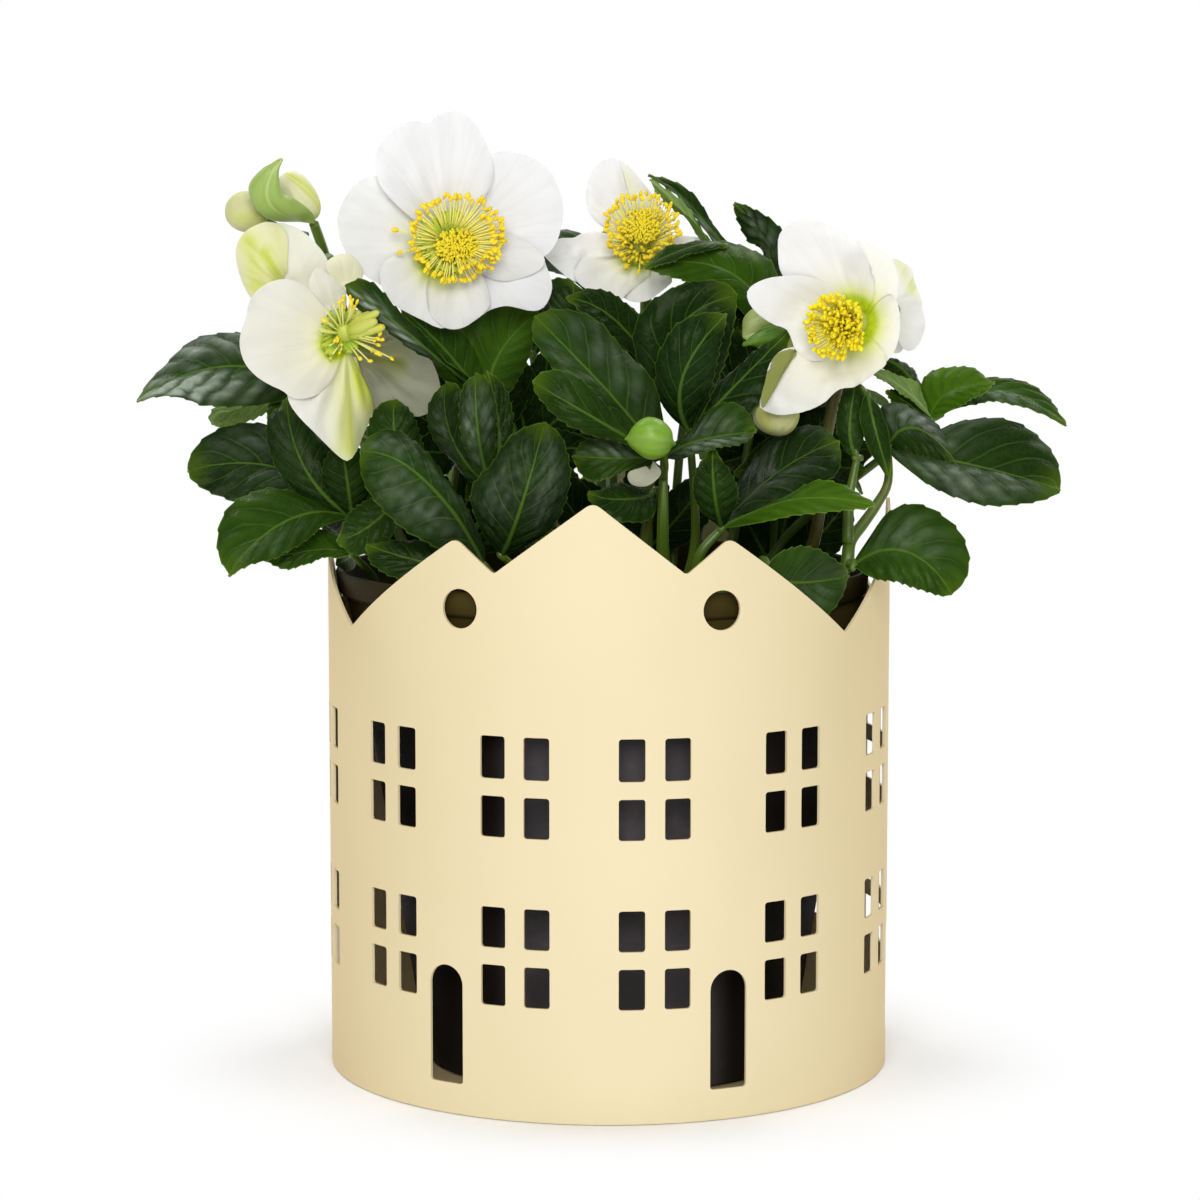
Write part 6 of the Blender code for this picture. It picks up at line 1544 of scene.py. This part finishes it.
def make_flower_c(m, petals, heart, rnd):
    f, hub_at = FLOWERS["c"], (638, 250)

    def put(base, outline, layer, **looks):
        sepal(petals, f, base, outline, rnd, layer, throat=looks.pop("throat", hub_at), **looks)

    put((642, 242), [(630, 232), (618, 200), (614, 172), (620, 160), (628, 166), (638, 177), (648, 189), (657, 202), (668, 220), (664, 236)], 3.2,
        green=0.3, reach=16, warm=0.22, cream=0.3, lined=(640, 236, 624, 168, 5, 0.35))
    put((648, 246), [(655, 232), (675, 235), (694, 237), (707, 241), (702, 252), (688, 262), (668, 268), (655, 262)], 2.4, green=0.4, reach=16, warm=0.2, cream=0.4)
    put((642, 256), [(628, 262), (618, 282), (622, 296), (634, 302), (648, 300.5), (659, 293), (668, 286), (672, 280), (664, 268), (652, 258)], 1.4,
        green=0.8, reach=20, cream=0.6, bumps=[(645, 282, 10, -1.2)])
    put((634, 246), [(620, 238), (598, 232), (584, 233), (573, 238), (560, 238.5), (550, 243), (542, 251.5), (550, 262), (561, 272), (573, 281), (590, 280),
                     (618, 262)], 1.0, green=0.4, reach=16, cream=0.5, warm=0.06, bumps=[(576, 254, 7, -2.2), (566, 246, 9, 1.6)], ruffle=0.9)
    put((636, 254), [(622, 252), (600, 262), (582, 258), (574, 268), (577, 281), (586, 289), (597, 297), (608, 302), (619, 301), (629, 292), (640, 284),
                     (650, 276), (648, 260)], -0.8, green=0.8, reach=22, cream=0.7, bumps=[(600, 274, 14, 1.2)], ruffle=0.9)
    put((638, 240), [(622, 236), (602, 226), (590, 214), (586, 200), (587, 186), (592, 173), (600, 163), (608, 158.5), (616, 158), (620, 164), (624, 178),
                     (630, 200), (640, 224)], 0.2, green=0.3, reach=16, cream=0.3, bumps=[(604, 196, 12, 1.0)])

    axis = flower_axis(f)
    hub = place_on(f, 641, 246, 1.6)
    anthers = scatter(rnd, 66, (642, 228), (35, 33), 0.86, 1.06, 6, 11)
    anthers += scatter(rnd, 34, (644, 230), (32, 30), 0.60, 0.85, 9, 13, -70, 200)
    anthers += [(628, 265, 6), (639, 270, 7), (641, 262, 8), (615, 250, 6), (612, 247, 6)]
    ring_of(heart, f, hub, axis, anthers, rnd)
    young_anthers(heart, f, rnd, (641, 226), (19, 17), 10.0, 14.5, 180, 0.76)
    spokes(heart, hub, axis, rnd, 150, 330, 18, 2.4, (5.0, 7.0), 0.85, 0.4)


def make_flower_d(m, petals, heart, rnd):
    f, hub_at = FLOWERS["d"], (851, 322)

    def put(base, outline, layer, **looks):
        sepal(petals, f, base, outline, rnd, layer, throat=looks.pop("throat", hub_at), **looks)

    put((858, 312), [(846, 290), (842, 262), (846, 248), (856, 241.5), (866, 242), (878, 249), (889, 257), (895, 266), (898, 280), (897, 298), (886, 312),
                     (872, 318)], 2.6, green=1.0, reach=32, cream=0.4, warm=0.16, glow=58)
    put((862, 326), [(870, 312), (882, 298), (891, 294), (898, 305), (900, 320), (899, 336), (895, 350), (886, 362), (874, 371), (860, 376), (846, 366),
                     (852, 342)], 1.8, green=1.0, reach=30, cream=0.45, warm=0.12, glow=52)
    put((858, 314), [(846, 318), (812, 300), (790, 284), (780, 270), (778, 252), (779, 236), (788, 225), (801, 220), (816, 221), (831, 226), (844, 233), (856, 243),
                     (866, 256), (872, 270), (875, 286), (872, 300), (866, 310)], 1.0, green=1.0, reach=31, cream=0.5, glow=56, bumps=[(840, 270, 26, 1.2)])
    put((856, 334), [(838, 334), (812, 345), (788, 348), (777, 354), (769, 366), (765, 382), (761, 398), (759, 406), (768, 412), (780, 415), (796, 413.5),
                     (812, 409), (825, 402), (834, 393), (842, 388.5), (854, 387), (866, 380), (878, 371), (886, 364), (884, 352), (872, 338)], 0.2,
        green=1.0, reach=31, cream=0.75, warm=0.18, glow=64, ruffle=1.6, bumps=[(830, 384, 9, -2.4), (846, 374, 8, 1.8), (862, 376, 8, -1.6), (796, 372, 22, 1.0)])
    put((856, 324), [(856, 306), (836, 290), (818, 279), (800, 275.5), (784, 276), (769, 278), (756, 283), (748, 290), (747.5, 299), (753, 309), (763, 318),
                     (775, 325), (786, 329), (791, 338), (795, 349), (803, 357), (812, 361), (823, 360), (832, 352), (844, 342)], -1.2,
        green=1.0, reach=28, cream=0.5, glow=58, bumps=[(790, 318, 14, 1.0), (775, 300, 18, -1.0)])
    # the lower sepal's outer edge folds over and shows its green back, painted darker as shade
    put((797, 350), [(789, 349), (777, 354), (769, 366), (765, 382), (761, 398), (762, 409), (768, 400), (775, 385), (785, 368), (796, 356)], -1.0,
        green=0.0, warm=0.0, lined=(786, 352, 762, 404, 10, 0.6), slot=3, wave=0.2, ruffle=0.1)

    axis = flower_axis(f)
    hub = place_on(f, 853, 325, 1.5)
    anthers = scatter(rnd, 84, (835, 326), (28, 31), 0.72, 1.02, 9, 14)
    anthers += scatter(rnd, 40, (848, 330), (16, 24), 0.2, 1.0, 12, 16)
    anthers += scatter(rnd, 26, (828, 312), (16, 16), 0.1, 1.0, 13, 17)
    ring_of(heart, f, hub, axis, anthers, rnd)
    young_anthers(heart, f, rnd, (840, 326), (20, 23), 8.0, 13.0, 96, 0.72)


def make_flower_e(m, petals, rnd):
    f = FLOWERS["e"]

    def put(base, outline, layer, **looks):
        sepal(petals, f, base, outline, rnd, layer, throat=looks.pop("throat", (880, 312)), **looks)

    put((890, 312), [(890, 296), (888, 274), (893, 259), (902, 262), (911, 268), (914, 280), (919, 294), (922, 306), (915, 318), (900, 322)], 1.0,
        green=0.0, warm=0.15, lined=(900, 262, 917, 300, 7, 0.7))
    put((888, 314), [(896, 300), (912, 296), (920, 304), (925, 320), (923, 334), (917, 346), (909, 351), (902, 347), (898, 340), (890, 330)], -0.6, green=0.0,
        warm=0.05, cream=0.3, ruffle=1.0)
    put((890, 314), [(884, 322), (884, 340), (892, 352), (900, 352), (906, 342), (906, 326), (900, 316)], 5.0, green=0.2, warm=0.2)


def flower_stem(m, letter, points, radius=(2.3, 1.8), node=None, flare=True):
    form = Form()
    route = rooted(points, 60)
    tube(form, route, np.linspace(radius[0], radius[1], len(route)), 16, 0, ribs=0.03)
    if flare:
        end = route[-1]
        way = unit(route[-1] - route[-3])
        turned(form, end - way * 4.0, way, [(0, radius[1]), (2.0, radius[1] * 1.1), (3.6, radius[1] * 1.5), (4.6, radius[1] * 1.7), (5.0, radius[1] * 1.0)], 16, 0)
    name = node or f"flower_{letter}_stem"
    return form.finish(name + "_stalk", [m["stem_brown" if letter == "d" else "stem"]], [name], "stem", 60)


def make_flowers(m):
    G = SOIL_TOP + GAP
    stems = {
        "a": ((-22, 14), [(-36, 10, 230), (-50, -12, 280)]),
        "b": ((-46, 10), [(-68, 2, 220), (-88, -22, 258)]),
        "c": ((14, 14), [(13, 20, 230), (13, 18, 280)]),
        "d": ((60, 6), [P(813, 545, -12), P(828, 430, -14), P(846, 360, -18)]),
        "e": ((52, 34), [(70, 38, 220), (94, 32, 258)]),
    }
    heart_materials = [m["anther"], m["filament"], m["nectary"], m["carpel"], m["young"]]
    for k, letter in enumerate("abcde"):
        rnd = np.random.default_rng(100 + k)
        petals, heart = Form(), Form()
        spec = FLOWERS[letter]
        if letter == "a":
            make_flower_a(m, petals, heart, rnd)
        elif letter == "b":
            make_flower_b(m, petals, heart, rnd)
        elif letter == "c":
            make_flower_c(m, petals, heart, rnd)
        elif letter == "d":
            make_flower_d(m, petals, heart, rnd)
        else:
            make_flower_e(m, petals, rnd)
        # the receptacle that the sepals and the stamens share
        centre, axis = P(*spec[:3]), flower_axis(spec)
        if letter != "e":
            turned(heart, centre - axis * 1.2, axis, [(0, 2.2), (1.2, 4.2), (3.2, 4.4), (5.0, 3.2), (6.0, 1.4)], 16, 3)
            mine = list(heart_materials)
            if letter == "d":
                mine[0], mine[1], mine[4] = m["lemon"], m["lemon_filament"], m["lemon"]
            if letter == "b":
                mine[1] = m["lime_filament"]
            heart.finish(f"flower_{letter}_heart", mine, [f"flower_{letter}_stamens"], "stamen", 60)
        else:
            turned(petals, centre - axis * 1.6, axis, [(0, 2.0), (1.4, 3.0), (3.0, 2.2)], 12, 1)
        # painted light and shade: each flower's sepals take a copy of the white sepal painted as bright as the light it
        # is in; slot 2 is the shaded copy and slot 3 the green back painted in shade
        petals.finish(f"flower_{letter}_petals", [m[{"a": "sepal", "b": "sepal_painted_softer_light", "e": "sepal_lit"}.get(letter, "sepal_bright")], m["stem"], m["sepal_dim"], m["sepal_back_painted_shade"]], [f"flower_{letter}_sepals"], "sepal", 70)
        root, via = stems[letter]
        back = centre - axis * 2.2
        points = [np.array([*root, G])] + [np.asarray(p, float) for p in via] + [back - axis * 9.0 + np.array([0, 0, -4.0]), back]
        flower_stem(m, letter, points)

    flower_stem(m, "f", [(-68, 20, G), (-88, 18, 220), (-104, 0, 268), P(330, 262, -16), P(320, 262, -26)], (2.2, 1.7), "flower_f_stem")
    flower_stem(m, "", [(-52, 30, G), (-78, 28, 220), (-96, 14, 270), P(323, 250, -10), P(314, 224, -20)], (2.2, 1.7), "bract_stem", False)


def wrapped_bud(form, centre, tip, radius, rnd, folds=3, green=0.3, warm=0.6, deep=0.0, twist=0.5, slot=0, squash=1.0, step_out=0.055, blunt=0.8):
    """A closed bud: one egg whose surface steps where each sepal wraps over the next."""
    centre, tip = np.asarray(centre, float), np.asarray(tip, float)
    axis, long = unit(tip - centre), np.linalg.norm(tip - centre)
    side = unit(np.cross(axis, [0.2, 1.0, 0.1]))
    other = np.cross(axis, side)
    rows, cols = 34, 72
    start = rnd.uniform(0, 1)
    s = np.linspace(0.012, 0.988, rows)
    around = np.arange(cols) / cols
    S, T = np.meshgrid(s, around, indexing="ij")
    polar = math.pi * (1 - S)
    turn = (T * folds + start + twist * (S - 0.5)) % 1.0
    over = np.where(turn < 0.10, turn / 0.10, 1 - (turn - 0.10) / 0.90)
    swell = 1 + step_out * over * step(S, 0.06, 0.3) * (1 - 0.4 * step(S, 0.85, 1.0))
    ribs = 1 + 0.010 * np.cos(2 * math.pi * T * folds * 5)
    r = radius * np.sin(polar) ** blunt * swell * ribs
    out = side * np.cos(2 * math.pi * T)[..., None] + other * np.sin(2 * math.pi * T)[..., None] * squash
    grid = centre + axis * (long * np.cos(polar))[..., None] + out * r[..., None]
    points = list(grid.reshape(-1, 3)) + [centre - axis * long, centre + axis * long]
    low, high = (len(points) - 2, len(points) - 1)
    ends = np.einsum("ijk,k->ij", grid - centre, axis)
    if ends[0].mean() > 0:
        low, high = high, low
    faces = []
    for j in range(rows - 1):
        for i in range(cols):
            k = (i + 1) % cols
            faces.append((j * cols + i, j * cols + k, (j + 1) * cols + k, (j + 1) * cols + i))
    for i in range(cols):
        k = (i + 1) % cols
        faces.append((low, k, i))
        faces.append((high, (rows - 1) * cols + i, (rows - 1) * cols + k))
    a, b2, c = (np.asarray(points[q]) for q in faces[cols * (rows // 2)][:3])
    if np.cross(b2 - a, c - a) @ (a - centre) < 0:
        faces = [tuple(reversed(q)) for q in faces]
    grain = np.concatenate([np.stack([S, turn * 2 - 1, np.full_like(S, 3.0)], -1).reshape(-1, 3), [[0, 0, 3], [1, 0, 3]]])
    base_green = np.clip(green + 0.5 * (1 - step(S, 0.0, 0.45)), 0, 1)
    tint = np.full_like(S, warm)
    third = deep * np.exp(-((turn - 0.55) / 0.22) ** 2)
    kind = np.concatenate([np.stack([base_green, tint, third], -1).reshape(-1, 3), [[base_green[0, 0], warm, deep], [base_green[-1, 0], warm, deep]]])
    form.add(points, faces, slot, grain, (0, 0, 0))
    form.vectors["kind"][-1] = kind


def make_buds_and_bracts(m):
    rnd = np.random.default_rng(77)
    # the half-open flower seen from its side: broad sepals still cupped round one another
    f = Form()
    wrapped_bud(f, P(284, 266, -33), P(270, 246, -38), 9.5, rnd, 3, 0.0, 0.45, 0.0)
    FLOWERS["f"] = (284, 264, -38, 0.10, 0.10, -3.0)
    sepal(f, FLOWERS["f"], (294, 292), [(300, 300), (280, 300), (262, 290), (256, 262), (262, 236), (276, 223.5), (290, 225.5), (303, 232), (314, 242), (324, 254), (328.5, 265),
          (327, 277), (318, 290), (304, 300)], rnd, -1.0, green=0.0, warm=0.50, wave=0.3, bumps=[(298, 262, 26, -6.0)], pleat=0.2, curl=3.0, ruffle=0.15)
    sepal(f, FLOWERS["f"], (290, 290), [(286, 306), (262, 306), (250, 296), (243, 283), (238, 268), (236, 253), (239, 240), (247, 230.5), (257, 225), (268, 222), (281, 226),
          (292, 240), (298, 262), (299, 284)], rnd, -3.0, green=0.0, warm=0.95, wave=0.3, bumps=[(266, 262, 24, -7.0), (272, 256, 7, 0.9)], pleat=0.25,
          curl=3.0, ruffle=0.15, lined=[(286, 296, 262, 246, 10, 1.0), (264, 302, 245, 232, 12, 0.95), (294, 292, 276, 228, 12, 0.3)])
    # painted light: the half-open flower takes the brighter copy of the white sepal
    f.finish("flower_f_bud", [m["sepal_bright"]], ["flower_f_half_open"], "bud", 70)

    def bud(node, centre, tip, radius, stalk, material, slot, folds, **looks):
        form = Form()
        wrapped_bud(form, centre, tip, radius, rnd, folds, **looks)
        if stalk:
            tube(form, smooth_route(stalk, 14), 1.0, 10, 1)
        form.finish(node + "_sepals", [m[material], m["stem"]], [node], slot, 70)

    # painted shade: the buds take copies of the sepal painted darker for the shade they are in, on top of their own
    # green tint
    bud("bud_h", P(247, 212, -24), P(228, 209, -28), 6.9, [P(258, 214, -22), P(282, 228, -15), P(308, 235, -13)], "bud", "bud", 3, green=0.0, warm=0.5, deep=0.45)
    bud("bud_j", P(776, 415, -36), P(771, 434, -38), 7.8, [P(781, 406, -34), P(800, 388, -22), P(827, 400, -15)], "bud", "bud", 3, green=0.10, warm=0.5, deep=0.6)
    bud("bud_in_bract", P(299, 197, -20), P(284, 174, -22), 6.0, None, "sepal_painted_softer_light", "bud", 3, green=0.0, warm=0.75, deep=0.9)

    def bract(node, rows, stalk, slot, green, deep, material="bract", body=None, also=(), **looks):
        form = Form()
        for place, shown in [(rows, (green, deep))] + list(also):
            b, mm, t, l, r = (P(*p) for p in place)
            count, many = form.count, len(form.vectors["kind"])
            leaflet(form, b, mm, t, l, r, rnd, **{"quilt": 0.15, "tooth": 0.0, "thick": 0.6, **looks})
            if material == "bract":
                form.vectors["kind"][many:] = [np.tile((*shown, rnd.uniform()), (form.count - count, 1))]
            looks.pop("edges", None)
        if body is not None:
            wrapped_bud(form, *body, rnd, 2, 1.0, 0.12, 0.0)
        if stalk:
            tube(form, smooth_route(stalk, 14), 0.95, 10, 1)
        form.finish(node + "_blade", [m[material], m["stem"]], [node], slot, 70)

    bract("bract_hooked", [(314, 222, -24), (268, 196, -40), (282, 159, -42), (249, 190, -36), (287, 196, -38)], None, "bract", 0.74, 0.12, bow=0.3, tip=0.9, base=0.6)
    # a folded green bud: two halves that meet in one crease
    bract("bud_k", [(674, 444, -76), (651, 437.5, -88), (626, 439, -80), (650, 417, -79), (650, 459, -78)],
          [P(664, 452, -73), P(666, 466, -65), P(664, 478, -58.4)], "bract", 1.0, 0.0, bow=0.42, wave=0.15, cols=31, quilt=0.0,
          edges=([(674, 444), (670, 433), (664, 425), (656, 419.5), (647, 417.5), (639, 421.5), (632, 429), (628, 435), (626, 439)],
                 [(674, 444), (669, 450), (661, 455.5), (652, 459), (643, 456.5), (634, 450), (629, 445), (626, 439)]),
          body=(P(650, 438, -76), P(632, 439, -77), 5.6))
    bract("bract_beside_d", [(808, 356, -14), (768, 334, -20), (744, 338, -20), (764, 306, -18), (770, 360, -22)],
          [P(798, 350, -15.6), P(818, 362, -14), P(834, 374, -16)], "bract", 0.46, 0.06, bow=0.2,
          also=[([(796, 322, -16), (768, 335, -25), (743, 345, -23), (766, 327, -23), (770, 344, -24)], (1.0, 1.0))])
    bract("bract_hanging", [(868, 392, -30), (876, 432, -38), (889, 478, -36), (863, 432, -36), (888, 430, -36)],
          [P(870, 402, -32.3), P(862, 388, -26), P(849, 382, -18)], "leaf", 0, 0, "leaf")

    # painted shade: the petal scrap takes the grey copy of the sepal, painted in shade
    form = Form()
    sepal(form, (645, 478, -72, 0.0, 0.0, 2.0), (650, 470), [(646, 466), (637, 469), (629, 472), (628, 479), (633, 485), (644, 486.5), (652, 483.5), (659, 477), (661, 471),
                                                             (657, 465), (653, 461)], rnd,
          green=0.0, warm=0.1, rows=18, cols=33, pleat=0.7)
    form.finish("petal_scrap_blade", [m["sepal_painted_grey_shade"]], ["petal_scrap"], "sepal", 70)


# ------------------------------------------------------------------ all together
camera_and_light()
MATERIALS = make_materials()
make_sleeve(MATERIALS)
make_pot(MATERIALS)
make_leaves(MATERIALS)
make_flowers(MATERIALS)
make_buds_and_bracts(MATERIALS)
